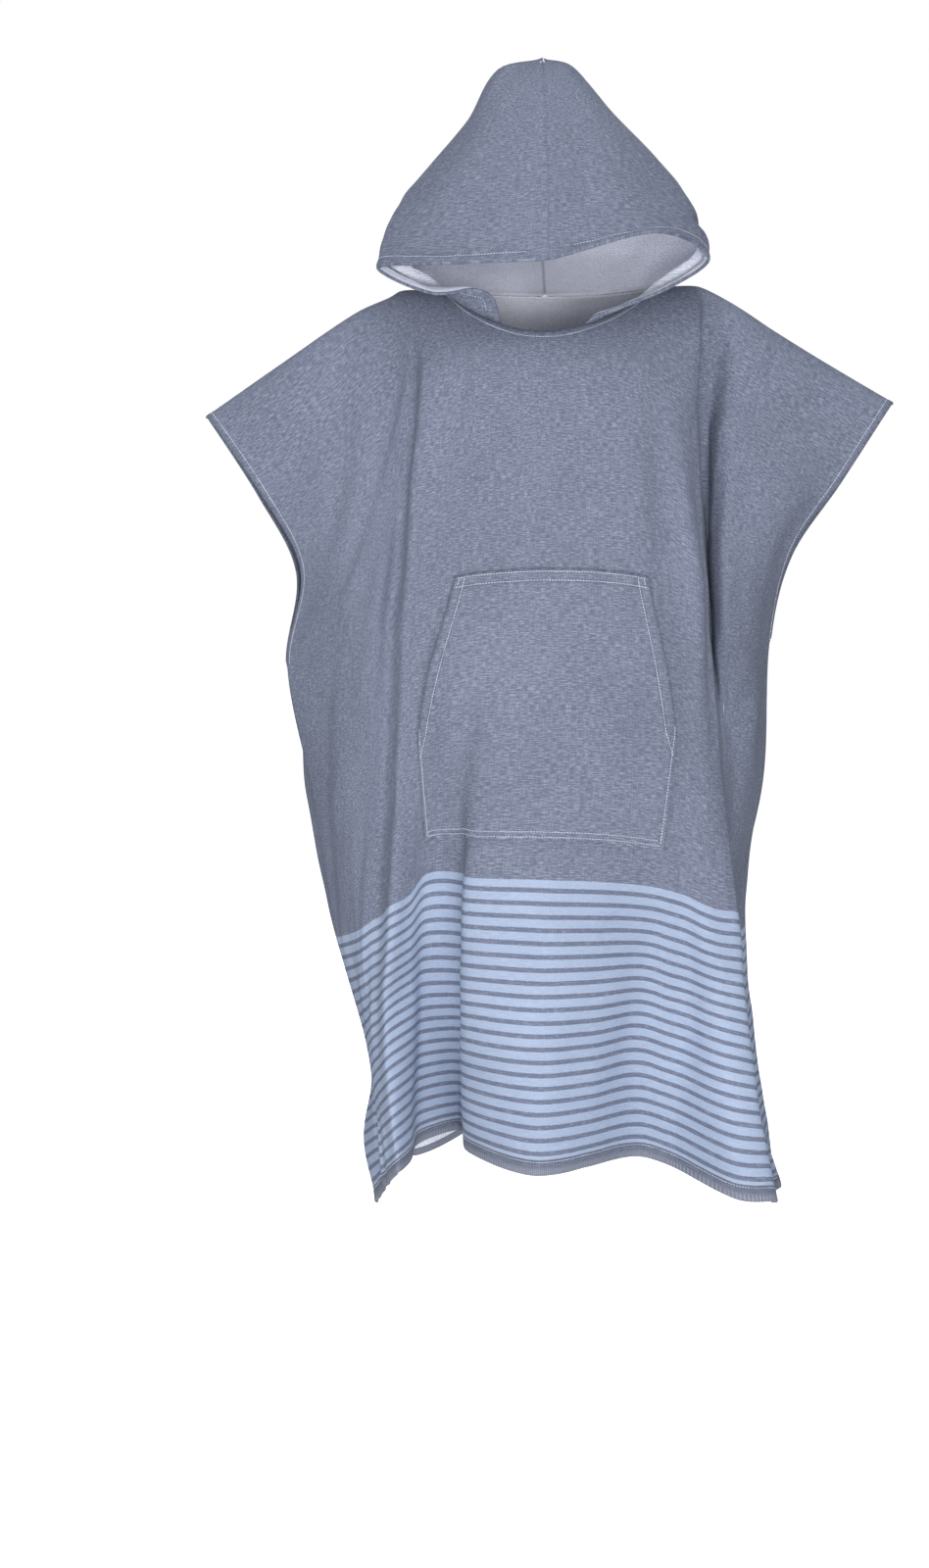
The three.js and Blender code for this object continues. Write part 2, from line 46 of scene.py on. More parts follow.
# ---- the camera, a tall portrait view a little above the shoulders' height ----
PITCH_DOWN = 6.136
camera_data = bpy.data.cameras.new("camera")
camera_data.lens = 45
camera_data.sensor_width = 36
camera = bpy.data.objects.new("camera", camera_data)
camera.location = (-0.097, -2.334, -0.338)
camera.rotation_euler = (math.radians(90 - PITCH_DOWN), 0, 0)
bpy.context.scene.collection.objects.link(camera)
bpy.context.scene.camera = camera

# ---- driving sizes of the cut, as in the frame ----
HALF_WIDTH = 450
LENGTH = 1070
ARM_OPENING = 372
NECK_HALF_WIDTH = 130
FRONT_NECK_DROP = 110
BACK_NECK_DROP = 34
CLOTH = 2.6
HEM_HEIGHT = 17
HEM_TOP = LENGTH - HEM_HEIGHT
HEM_STITCH = HEM_TOP + 3
TURNED_IN = 10                   # how much of the hem's woven face shows inside
HOOD_CLOTH = 2.4
TAPE_WIDTH = 11
TAPE_CLOTH = 1.1
POCKET_CLOTH = 2.2
SEAM_GAP = 0.3
NECK_CLEARANCE = 0.5
SECTION_DOWN = [0, 120, 240, ARM_OPENING, 545, 732, 900, LENGTH]
COLLAR = 1
STRIPES_TOP = 732
SLEEVE_HEM = 9
SLEEVE_END = ARM_OPENING - 4     # where the sleeve's turned edge ends above the side seam
NECK_STITCH = 9
NECK_CENTRE = (-2, -38)
SWING_DOWN = 990                 # where the left edge swings out above the hem
SWING_REACH = 80
SWING_FROM = -290
SWING_SIZE = 14

# One row for each fold line: name, across, then [x, y, z] at each length of SECTION_DOWN.
FRONT_FOLDS = [
  ("left edge", -450, [-401, 8, -154], [-336, -22, -244], [-288, -36, -335], [-311, 22, -450],
    [-282, 42, -609], [-254, 42, -783], [-214, 46, -946], [-207, -4, -1102]),
  ("left flank", -350, [-312, 3, -94], [-250, -56, -193], [-230, -86, -301], [-247, -58, -414],
    [-246, -36, -582], [-233, -10, -768], [-210, -14, -923], [-195, -46, -1073]),
  ("left slope", -262, [-225, -3, -37], [-183, -70, -135], [-188, -97, -269], [-198, -98, -386],
    [-208, -75, -558], [-217, -36, -756], [-208, -31, -914], [-190, -64, -1060]),
  ("left valley", -215, [-184, -6, -19], [-159, -79, -110], [-169, -98, -242], [-180, -98, -368],
    [-191, -83, -543], [-203, -52, -742], [-202, -46, -902], [-184, -78, -1049]),
  ("left ridge", -188, [-170, -9, -12], [-144, -93, -101], [-154, -116, -223], [-163, -118, -351],
    [-173, -108, -525], [-184, -88, -722], [-190, -76, -882], [-174, -94, -1036]),
  ("left tuck", -150, [-147, -10, -11], [-118, -104, -93], [-123, -123, -214], [-138, -124, -341],
    [-150, -114, -517], [-160, -83, -709], [-160, -54, -864], [-161, -62, -1032]),
  ("left floor", -122, [-124, -12, -11], [-101, -108, -85], [-99, -130, -205], [-113, -134, -334],
    [-128, -126, -509], [-141, -79, -686], [-146, -30, -860], [-151, -6, -1027]),
  ("left wall", -88, [-102, -12, -11], [-83, -112, -81], [-75, -138, -201], [-84, -144, -329],
    [-96, -140, -500], [-102, -95, -682], [-103, -41, -856], [-103, 22, -1019]),
  ("left crest", -55, [-67, -12, -11], [-56, -114, -79], [-45, -145, -198], [-53, -151, -326],
    [-61, -151, -497], [-91, -133, -681], [-98, -113, -850], [-95, -71, -1018]),
  ("centre", 0, [-3, -12, -11], [-13, -116, -77], [-7, -148, -196], [-7, -155, -324],
    [-6, -158, -494], [-15, -152, -681], [-20, -158, -849], [-23, -157, -1020]),
  ("right crest", 62, [62, -12, -10], [44, -113, -81], [52, -143, -200], [55, -150, -326],
    [56, -152, -497], [51, -146, -684], [48, -140, -850], [46, -132, -1018]),
  ("right hollow", 112, [110, -11, -9], [90, -106, -90], [98, -133, -205], [106, -139, -333],
    [109, -139, -504], [113, -128, -692], [110, -106, -851], [104, -88, -1019]),
  ("right wall", 150, [143, -10, -7], [117, -100, -101], [130, -123, -217], [141, -128, -346],
    [149, -126, -515], [153, -128, -703], [152, -112, -864], [144, -102, -1026]),
  ("right front", 182, [165, -9, -6], [149, -92, -119], [156, -116, -237], [169, -120, -361],
    [177, -112, -529], [189, -128, -718], [201, -142, -875], [210, -174, -1042]),
  ("right edge", 205, [179, -7, -8], [167, -78, -129], [168, -98, -251], [177, -104, -370],
    [193, -92, -541], [217, -116, -724], [231, -134, -885], [256, -170, -1046]),
  ("right tuck", 250, [207, -4, -21], [186, -36, -140], [184, -44, -262], [187, -50, -382],
    [203, -72, -556], [212, -68, -742], [226, -80, -902], [258, -142, -1056]),
  ("right lip", 278, [233, -2, -36], [202, -58, -150], [186, -72, -273], [190, -78, -390],
    [210, -60, -566], [213, -55, -753], [222, -64, -914], [261, -116, -1062]),
  ("right slope", 306, [261, 0, -54], [222, -64, -162], [200, -88, -284], [203, -90, -398],
    [220, -44, -576], [218, -34, -764], [225, -36, -926], [264, -90, -1067]),
  ("right flank", 362, [322, 4, -90], [266, -56, -186], [240, -84, -300], [236, -62, -410],
    [247, -8, -584], [222, 12, -776], [240, 12, -942], [273, -52, -1074]),
  ("right edge", 450, [407, 8, -138], [344, -22, -229], [285, -30, -313], [271, 28, -421],
    [270, 58, -592], [234, 66, -789], [257, 56, -961], [289, -14, -1079]),
]
BACK_FOLDS = [
  ("left edge", -450, [-401, 8, -154], [-343, 22, -246], [-300, 46, -338], [-311, 22, -450],
    [-282, 42, -609], [-254, 42, -783], [-214, 46, -946], [-207, -4, -1102]),
  ("left flank", -350, [-312, 3, -94], [-268, 58, -190], [-262, 92, -302], [-284, 92, -424],
    [-290, 98, -594], [-259, 106, -774], [-214, 88, -934], [-205, 64, -1088]),
  ("left slope", -262, [-225, -3, -37], [-196, 72, -128], [-204, 110, -240], [-226, 126, -366],
    [-232, 132, -540], [-232, 128, -728], [-198, 120, -892], [-184, 112, -1074]),
  ("left valley", -205, [-178, -7, -16], [-146, 78, -100], [-152, 102, -218], [-170, 102, -350],
    [-182, 96, -524], [-186, 88, -711], [-175, 86, -880], [-156, 82, -1068]),
  ("left ridge", -150, [-147, -10, -11], [-108, 80, -92], [-112, 122, -206], [-122, 140, -338],
    [-130, 148, -512], [-130, 146, -700], [-124, 134, -868], [-108, 114, -1054]),
  ("left hollow", -75, [-84, -12, -11], [-62, 84, -66], [-62, 112, -182], [-62, 122, -314],
    [-62, 130, -488], [-60, 138, -676], [-58, 148, -846], [-52, 158, -1026]),
  ("centre", 0, [-3, -12, -11], [-5, 84, -60], [-6, 118, -175], [-4, 134, -306],
    [-2, 147, -479], [2, 158, -666], [6, 166, -835], [10, 172, -1010]),
  ("right hollow", 75, [76, -12, -11], [62, 84, -66], [62, 110, -182], [66, 118, -314],
    [72, 122, -488], [80, 122, -676], [88, 122, -846], [94, 124, -1022]),
  ("right ridge", 150, [143, -10, -7], [108, 80, -92], [114, 122, -206], [124, 140, -338],
    [136, 150, -512], [150, 158, -700], [162, 166, -868], [172, 174, -1042]),
  ("right valley", 205, [179, -7, -8], [146, 78, -100], [154, 100, -218], [168, 94, -350],
    [182, 88, -524], [194, 90, -711], [206, 94, -880], [216, 98, -1056]),
  ("right slope", 262, [216, -3, -27], [192, 72, -124], [200, 108, -240], [214, 120, -366],
    [226, 126, -540], [236, 130, -728], [250, 130, -892], [262, 128, -1066]),
  ("right flank", 350, [311, 3, -83], [266, 58, -178], [256, 90, -292], [252, 92, -404],
    [264, 104, -580], [256, 106, -774], [274, 98, -942], [288, 60, -1082]),
  ("right edge", 450, [407, 8, -138], [351, 22, -231], [297, 42, -318], [271, 28, -421],
    [270, 58, -592], [234, 66, -789], [257, 56, -961], [289, -14, -1079]),
]
HOOD_LEFT_BANDS = [
  ("neck", 0, [-57, -103, -61], [-89, -74, -42], [-130, -12, -11], [-74, 14, -14], [-4, 22, -14]),
  ("fold", 0.06, [-72, -112, -30], [-121, -69, -25], [-142, -3, 4], [-84, 35, 8], [-4, 47, 9]),
  ("flap", 0.15, [-134, -98, -28], [-168, -62, 0], [-160, 10, 26], [-98, 66, 40], [-4, 84, 44]),
  ("corner", 0.3, [-196, -66, 6], [-192, -36, 30], [-164, 32, 60], [-100, 88, 84], [-4, 104, 92]),
  ("brim side", 0.45, [-128, -138, 0], [-178, -58, 50], [-166, 18, 94], [-100, 90, 128], [-5, 108, 136]),
  ("brim middle", 0.6, [-6, -168, 0], [-116, -92, 76], [-150, 0, 116], [-92, 72, 160], [-6, 98, 176]),
  ("face", 0.78, [-4, -116, 96], [-80, -66, 148], [-94, 4, 182], [-64, 46, 204], [-7, 72, 216]),
  ("brow", 0.92, [-7, -50, 204], [-42, -26, 226], [-58, 2, 240], [-38, 20, 240], [-8, 36, 240]),
  ("crown", 1, [-8, -18, 247], [-8, -6, 251], [-8, 4, 252], [-8, 14, 251], [-8, 24, 247]),
]
HOOD_RIGHT_BANDS = [
  ("neck", 0, [45, -103, -61], [89, -74, -42], [128, -12, -8], [74, 14, -14], [-4, 22, -14]),
  ("fold", 0.06, [62, -110, -52], [121, -68, -24], [142, -2, 8], [84, 36, 9], [-4, 47, 9]),
  ("flap", 0.15, [132, -96, -22], [172, -58, 8], [160, 14, 34], [96, 68, 42], [-4, 84, 44]),
  ("corner", 0.3, [180, -66, 18], [180, -30, 44], [158, 34, 70], [98, 90, 90], [-4, 104, 92]),
  ("brim side", 0.45, [112, -138, 34], [162, -56, 70], [150, 18, 108], [98, 92, 134], [-5, 108, 136]),
  ("brim middle", 0.6, [-6, -168, 0], [104, -90, 88], [130, 2, 136], [80, 70, 166], [-6, 98, 176]),
  ("face", 0.78, [-4, -116, 96], [62, -68, 154], [76, 2, 190], [50, 44, 206], [-7, 72, 216]),
  ("brow", 0.92, [-7, -50, 204], [18, -30, 230], [26, 2, 244], [22, 20, 243], [-8, 36, 240]),
  ("crown", 1, [-8, -18, 247], [-8, -6, 251], [-8, 4, 252], [-8, 14, 251], [-8, 24, 247]),
]
HOOD_PLACES = [0, 0.25, 0.5, 0.78, 1]
BRIM_MIDDLE = 0.6
CORNER_REACH = 0.25
HOOD_NECK_BLEND = 0.3
FRONT_NECK_COLUMNS = [54, 67, 80, 93, 106, 118, 130]
BACK_NECK_COLUMNS = [130, 112, 93, 74, 54, 27, 0]

# The pocket: name, down, left edge, right edge.
POCKET_OUTLINE = [
  ("top", 382, -112, 112),
  ("elbow", 556, -146, 142),
  ("bottom", 686, -126, 126),
]
POCKET_BULGE = 12
POCKET_CLEARANCE = 1.1

# ---- creases laid on the panels' own lengths ----
# name, start (across, down), end (across, down), bow sideways, half width, depth (troughs below 0).
FRONT_CREASES = [
  ("left valley, upper", (-212, 80), (-208, 400), 0, 14, -6.0),
  ("left valley, lower", (-208, 340), (-210, 960), 0, 14, -5.5),
  ("left valley ridge", (-182, 100), (-182, 700), 3, 10, 1.8),
  ("left sleeve, upper line", (-292, 20), (-408, 245), 10, 13, -3.0),
  ("left sleeve, between", (-258, 30), (-400, 290), 12, 15, 2.0),
  ("left sleeve, lower line", (-212, 40), (-380, 330), 14, 15, -3.6),
  ("left sleeve, low ridge", (-232, 120), (-372, 390), 10, 18, 1.8),
  ("left underarm pull", (-424, 400), (-360, 470), 4, 14, -2.4),
  ("left side, low", (-398, 470), (-380, 700), -8, 26, -0.8),
  ("left side, middle", (-320, 520), (-300, 760), 6, 26, 1.2),
  ("left corner, upper", (-300, 940), (-392, 1050), 6, 14, -2.0),
  ("left corner, lower", (-250, 960), (-330, 1068), 4, 12, 1.8),
  ("collar pull, left", (-58, 128), (-150, 300), 18, 22, -1.9),
  ("collar pull, middle", (-20, 130), (-64, 360), 14, 26, 1.3),
  ("chest, soft", (36, 160), (64, 380), -10, 30, -1.4),
  ("right chest, long", (124, 150), (146, 600), 8, 18, -3.4),
  ("right chest, ridge", (160, 130), (176, 560), 6, 11, 2.6),
  ("right fold lip", (203, 120), (206, 620), 3, 7, 2.8),
  ("right gap, upper", (204, -20), (252, 280), 5, 13, -9.5),
  ("right of gap, curved", (328, 130), (322, 400), 12, 18, -3.2),
  ("right of gap, ridge", (302, 140), (306, 380), 6, 14, 2.0),
  ("right sleeve, slant", (352, 60), (366, 330), -6, 26, -2.6),
  ("right sleeve, edge", (420, 150), (404, 330), -8, 22, 2.2),
  ("left shoulder pull", (-196, 18), (-216, 120), -4, 8, 2.0),
  ("right underarm", (330, 380), (300, 520), -22, 18, -4.2),
  ("right underarm curve", (392, 430), (322, 600), -26, 16, 2.8),
  ("under pocket, right", (70, 700), (96, 1040), 6, 20, -2.2),
  ("below the pocket, left", (-104, 640), (-108, 790), -3, 15, -3.0),
  ("right stripes, valley", (148, 640), (150, 1040), 3, 11, -4.4),
  ("right stripes, ridge", (172, 700), (178, 1050), 3, 12, 2.6),
  ("right stripes, second", (112, 760), (108, 1050), -4, 13, -2.4),
  ("middle stripes", (8, 770), (16, 1040), 6, 30, 1.6),
]
BACK_CREASES = [
  ("yoke, left", (-60, 70), (-200, 260), 20, 22, -2.2),
  ("yoke, right", (66, 66), (196, 280), -22, 22, -2.0),
  ("left sleeve", (-390, 110), (-340, 330), 14, 28, -3.0),
  ("left sleeve, ridge", (-350, 110), (-312, 360), 14, 22, 2.2),
  ("right sleeve", (384, 110), (334, 330), -16, 28, -3.2),
  ("right sleeve, ridge", (342, 120), (300, 350), -12, 22, 2.4),
  ("left trough", (-204, 150), (-196, 900), 6, 16, -3.2),
  ("left long ridge", (-150, 140), (-138, 940), -8, 15, 2.4),
  ("middle, left of", (-52, 200), (-40, 1040), 7, 18, -2.6),
  ("middle, ridge", (6, 320), (12, 1050), -5, 16, 1.8),
  ("middle, right of", (62, 160), (78, 980), -6, 17, -2.8),
  ("right ridge", (120, 260), (146, 1050), 8, 15, 2.2),
  ("right trough", (198, 130), (206, 1000), -4, 15, -3.0),
  ("left flank", (-300, 420), (-290, 980), 12, 24, -2.8),
  ("left flank, ridge", (-262, 500), (-250, 1040), 8, 18, 2.2),
  ("right flank", (292, 400), (306, 1000), -12, 22, -3.0),
  ("right flank, ridge", (256, 460), (262, 1040), -8, 18, 2.0),
]
# For the hood: name, start (height, place), end (height, place), half width in shares, depth.
HOOD_LEFT_CREASES = [
  ("beside the seam", (0.66, 0.10), (0.93, 0.16), 0.030, -2.2),
  ("corner to side", (0.34, 0.10), (0.62, 0.42), 0.050, -2.4),
  ("inner fold at the neck", (0.0, 0.27), (0.34, 0.27), 0.045, -10.0),
  ("side pull", (0.22, 0.34), (0.60, 0.56), 0.060, 2.0),
  ("back of the neck", (0.05, 0.70), (0.34, 0.62), 0.050, -2.6),
  ("back fold", (0.14, 0.86), (0.62, 0.82), 0.050, 2.2),
  ("crown pinch", (0.86, 0.30), (0.99, 0.40), 0.050, 1.8),
]
HOOD_RIGHT_CREASES = [
  ("beside the seam", (0.64, 0.12), (0.90, 0.14), 0.035, -1.6),
  ("corner to side", (0.36, 0.08), (0.66, 0.36), 0.050, -3.0),
  ("brim lift", (0.50, 0.10), (0.72, 0.20), 0.050, 2.6),
  ("inner fold at the neck", (0.0, 0.27), (0.46, 0.25), 0.045, -13.0),
  ("side pull", (0.20, 0.36), (0.58, 0.60), 0.060, 2.2),
  ("back of the neck", (0.05, 0.66), (0.32, 0.74), 0.050, -2.4),
  ("back fold", (0.18, 0.88), (0.66, 0.80), 0.050, 2.0),
]
# Small gathers where the hood's front corners are sewn down: side, height, place, half width, depth.
CORNER_GATHERS = [
  (-1, 0.035, 0.03, 0.016, -3.0),
  (-1, 0.060, 0.06, 0.018, 2.2),
  (-1, 0.085, 0.03, 0.016, -2.4),
  (-1, 0.020, 0.10, 0.020, 1.8),
  (1, 0.040, 0.03, 0.016, -1.8),
  (1, 0.075, 0.05, 0.018, 1.4),
]


# ---- curves and surfaces through the tables ----
def spline(knots, values, at):
    """A smooth curve through knots. values is (knots, 1 or points, 3), at is (points)."""
    knots = np.asarray(knots, float)
    at = np.asarray(at, float)
    values = np.asarray(values, float)
    values = np.broadcast_to(values, (len(knots), len(at), values.shape[2]))
    last = len(knots) - 1
    every = np.arange(last + 1)
    before = np.maximum(every - 1, 0)
    after = np.minimum(every + 1, last)
    slope = (values[after] - values[before]) / (knots[after] - knots[before])[:, None, None]
    i = np.clip(np.searchsorted(knots, at, side="left") - 1, 0, last - 1)
    span = (knots[i + 1] - knots[i])[:, None]
    t = (at - knots[i])[:, None] / span
    each = np.arange(len(at))
    start = values[i, each]
    rise = values[i + 1, each] - start
    early = slope[i, each] * span
    late = slope[i + 1, each] * span
    return start + t * (early + t * (3 * rise - 2 * early - late + t * (early + late - 2 * rise)))


def split_table(rows):
    return np.array([row[1] for row in rows], float), np.array([row[2:] for row in rows], float)


def swing(across, down):
    """How far left a point lies because the left edge swings out just above the hem."""
    along = np.maximum(1 - ((down - SWING_DOWN) / SWING_REACH) ** 2, 0)
    over = np.maximum((SWING_FROM - across) / (SWING_FROM + HALF_WIDTH), 0)
    return SWING_SIZE * along ** 2 * over ** 2


def panel_surface(own_rows, other_rows):
    """A panel's surface from its fold table, entered from the other panel's collar."""
    own_across, own = split_table(own_rows)
    other_across, other = split_table(other_rows)
    knots = [-SECTION_DOWN[COLLAR]] + SECTION_DOWN

    def place(across, down):
        lines = [spline(other_across, other[:, COLLAR][:, None], across)]
        lines += [spline(own_across, own[:, s][:, None], across) for s in range(len(SECTION_DOWN))]
        spot = spline(knots, np.stack(lines), down)
        spot[..., 0] -= swing(across, down)
        return spot
    return place


front_place = panel_surface(FRONT_FOLDS, BACK_FOLDS)
back_own_place = panel_surface(BACK_FOLDS, FRONT_FOLDS)
SHOULDER_BLEND = 60
EDGE_BLEND = 60


def back_place(across, down):
    spot = back_own_place(across, down)
    near_shoulder = np.maximum(1 - down / SHOULDER_BLEND, 0) ** 2
    top = np.zeros_like(down)
    spot = spot + (front_place(across, top) - back_own_place(across, top)) * near_shoulder[:, None]
    near_edge = np.maximum(1 - (HALF_WIDTH - np.abs(across)) / EDGE_BLEND, 0) * (down > ARM_OPENING)
    edge = np.sign(across) * HALF_WIDTH
    return spot + (front_place(edge, down) - back_own_place(edge, down)) * near_edge[:, None]


def neck_edge(across, drop):
    share = np.minimum(np.abs(across) / NECK_HALF_WIDTH, 1)
    return drop * (1 - share ** 2) ** 0.75


def bump(distance, half_width):
    """A soft hill: 1 on the line, 0 from twice the half width on."""
    share = np.clip(np.abs(distance) / (2 * half_width), 0, 1)
    return (1 - share ** 2) ** 3


def smoothstep(value, low, high):
    t = np.clip((value - low) / (high - low), 0, 1)
    return t * t * (3 - 2 * t)


def along_line(x, y, start, end, bow=0.0):
    """Share along a line from start to end, and the distance from its bowed course."""
    dx, dy = end[0] - start[0], end[1] - start[1]
    length = math.hypot(dx, dy)
    share = ((x - start[0]) * dx + (y - start[1]) * dy) / length ** 2
    aside = ((x - start[0]) * dy - (y - start[1]) * dx) / length
    return share, aside - bow * np.sin(math.pi * np.clip(share, 0, 1))


def crease_height(creases, across, down):
    height = np.zeros_like(across)
    for _name, start, end, bow, half_width, depth in creases:
        share, aside = along_line(across, down, start, end, bow)
        fade = smoothstep(share, -0.05, 0.25) * (1 - smoothstep(share, 0.7, 1.05))
        height += depth * fade * bump(aside, half_width)
    return height


# Gentle unevenness of hanging cloth: across and down wave lengths, phase, height.
UNEVEN = [(71, 410, 0.4, 0.55), (113, 290, 1.9, 0.6), (47, 230, 4.1, 0.28), (163, 137, 2.6, 0.5),
          (31, 96, 5.3, 0.12), (223, 83, 0.9, 0.3)]


def uneven(across, down, shift):
    total = np.zeros_like(across)
    for wide, long, phase, height in UNEVEN:
        swing = 0.6 * np.sin(2 * math.pi * down / (1.7 * long) + phase)
        total += height * np.sin(2 * math.pi * (across / wide + down / long) + phase + shift + swing)
    return total


# ---- mesh building ----
def new_mesh(name, points, faces, uvs=None, shades=None, slots=None, materials=()):
    """A smooth mesh object from points in millimetres and quads."""
    mesh = bpy.data.meshes.new(name)
    mesh.from_pydata((np.asarray(points) * MM).tolist(), [], np.asarray(faces).tolist())
    corners = np.asarray(faces).reshape(-1)
    if uvs is not None:
        layer = mesh.uv_layers.new(name="cloth")
        layer.data.foreach_set("uv", (np.asarray(uvs)[corners] * MM).astype(np.float32).reshape(-1))
    if shades is not None:
        # a per-point darkening: painted shade in seam grooves and at sewn edges, with some soiling
        attribute = mesh.attributes.new("seam_shade_and_soil", "FLOAT", "POINT")
        attribute.data.foreach_set("value", np.asarray(shades, np.float32))
    for material in materials:
        mesh.materials.append(material)
    if slots is not None:
        mesh.polygons.foreach_set("material_index", np.asarray(slots, np.int32))
    mesh.polygons.foreach_set("use_smooth", np.ones(len(mesh.polygons), bool))
    mesh.update()
    piece = bpy.data.objects.new(name, mesh)
    bpy.context.scene.collection.objects.link(piece)
    return piece


def grid_normals(grid):
    """Outward normals of a grid (rows, columns, 3) whose rows run down and columns run to the right."""
    down = np.gradient(grid, axis=0)
    over = np.gradient(grid, axis=1)
    normal = np.cross(down, over)
    return normal / np.maximum(np.linalg.norm(normal, axis=2, keepdims=True), 1e-9)


EDGE_TURNS = 3


def shell(name, outer, inner, uv, seam_shade_and_soil, inner_slot, materials, flat_rows=(), flat_columns=()):
    """A closed wall between two grids, with rounded edges. inner_slot gives each inner quad's material."""
    rows, columns = outer.shape[:2]
    count = rows * columns
    ids = np.arange(count).reshape(rows, columns)

    def quads(block, reverse):
        a, b, c, d = block[:-1, :-1], block[1:, :-1], block[1:, 1:], block[:-1, 1:]
        order = (a, d, c, b) if reverse else (a, b, c, d)
        return np.stack(order, axis=-1).reshape(-1, 4)
    faces = [quads(ids, False), quads(ids + count, True)]
    slots = [np.zeros(len(faces[0]), int), np.asarray(inner_slot).reshape(-1)]
    loop = [(0, c) for c in range(columns - 1, 0, -1)] + [(r, 0) for r in range(rows - 1)]
    loop += [(rows - 1, c) for c in range(columns - 1)] + [(r, columns - 1) for r in range(rows - 1, 0, -1)]
    loop = np.array(loop)
    r, c = loop[:, 0], loop[:, 1]
    middle = (outer + inner) / 2
    away = np.zeros((len(loop), 3))
    for row, step in ((0, 1), (rows - 1, -1)):
        on = r == row
        away[on] += unit(middle[r[on], c[on]] - middle[r[on] + step, c[on]])
    for column, step in ((0, 1), (columns - 1, -1)):
        on = c == column
        away[on] += unit(middle[r[on], c[on]] - middle[r[on], c[on] + step])
    away = unit(away)
    half = (outer[r, c] - inner[r, c]) / 2
    thick = np.linalg.norm(half, axis=1, keepdims=True)
    bulge = np.ones((len(loop), 1))
    for row in flat_rows:
        bulge[r == (row % rows)] = 0.15
    for column in flat_columns:
        bulge[c == (column % columns)] = 0.15
    points = [outer.reshape(-1, 3), inner.reshape(-1, 3)]
    rings = [ids[r, c]]
    for k in range(1, EDGE_TURNS + 1):
        angle = math.pi * k / (EDGE_TURNS + 1)
        points.append(middle[r, c] + half * math.cos(angle) + away * thick * math.sin(angle) * bulge)
        rings.append(2 * count + (k - 1) * len(loop) + np.arange(len(loop)))
    rings.append(ids[r, c] + count)
    for near, far in zip(rings[:-1], rings[1:]):
        strip = np.stack([near, far, np.roll(far, -1), np.roll(near, -1)], axis=-1)
        faces.append(strip)
        slots.append(np.zeros(len(strip), int))
    uvs = np.concatenate([uv.reshape(-1, 2)] * 2 + [uv[r, c]] * EDGE_TURNS)
    # the painted seam shade and soiling carries over onto the rounded edges
    seam_shades_and_soils = np.concatenate([seam_shade_and_soil.reshape(-1)] * 2 + [seam_shade_and_soil[r, c]] * EDGE_TURNS)
    return new_mesh(name, np.concatenate(points), np.concatenate(faces), uvs, seam_shades_and_soils, np.concatenate(slots),
                    materials)


def unit(vectors):
    return vectors / np.maximum(np.linalg.norm(vectors, axis=-1, keepdims=True), 1e-9)


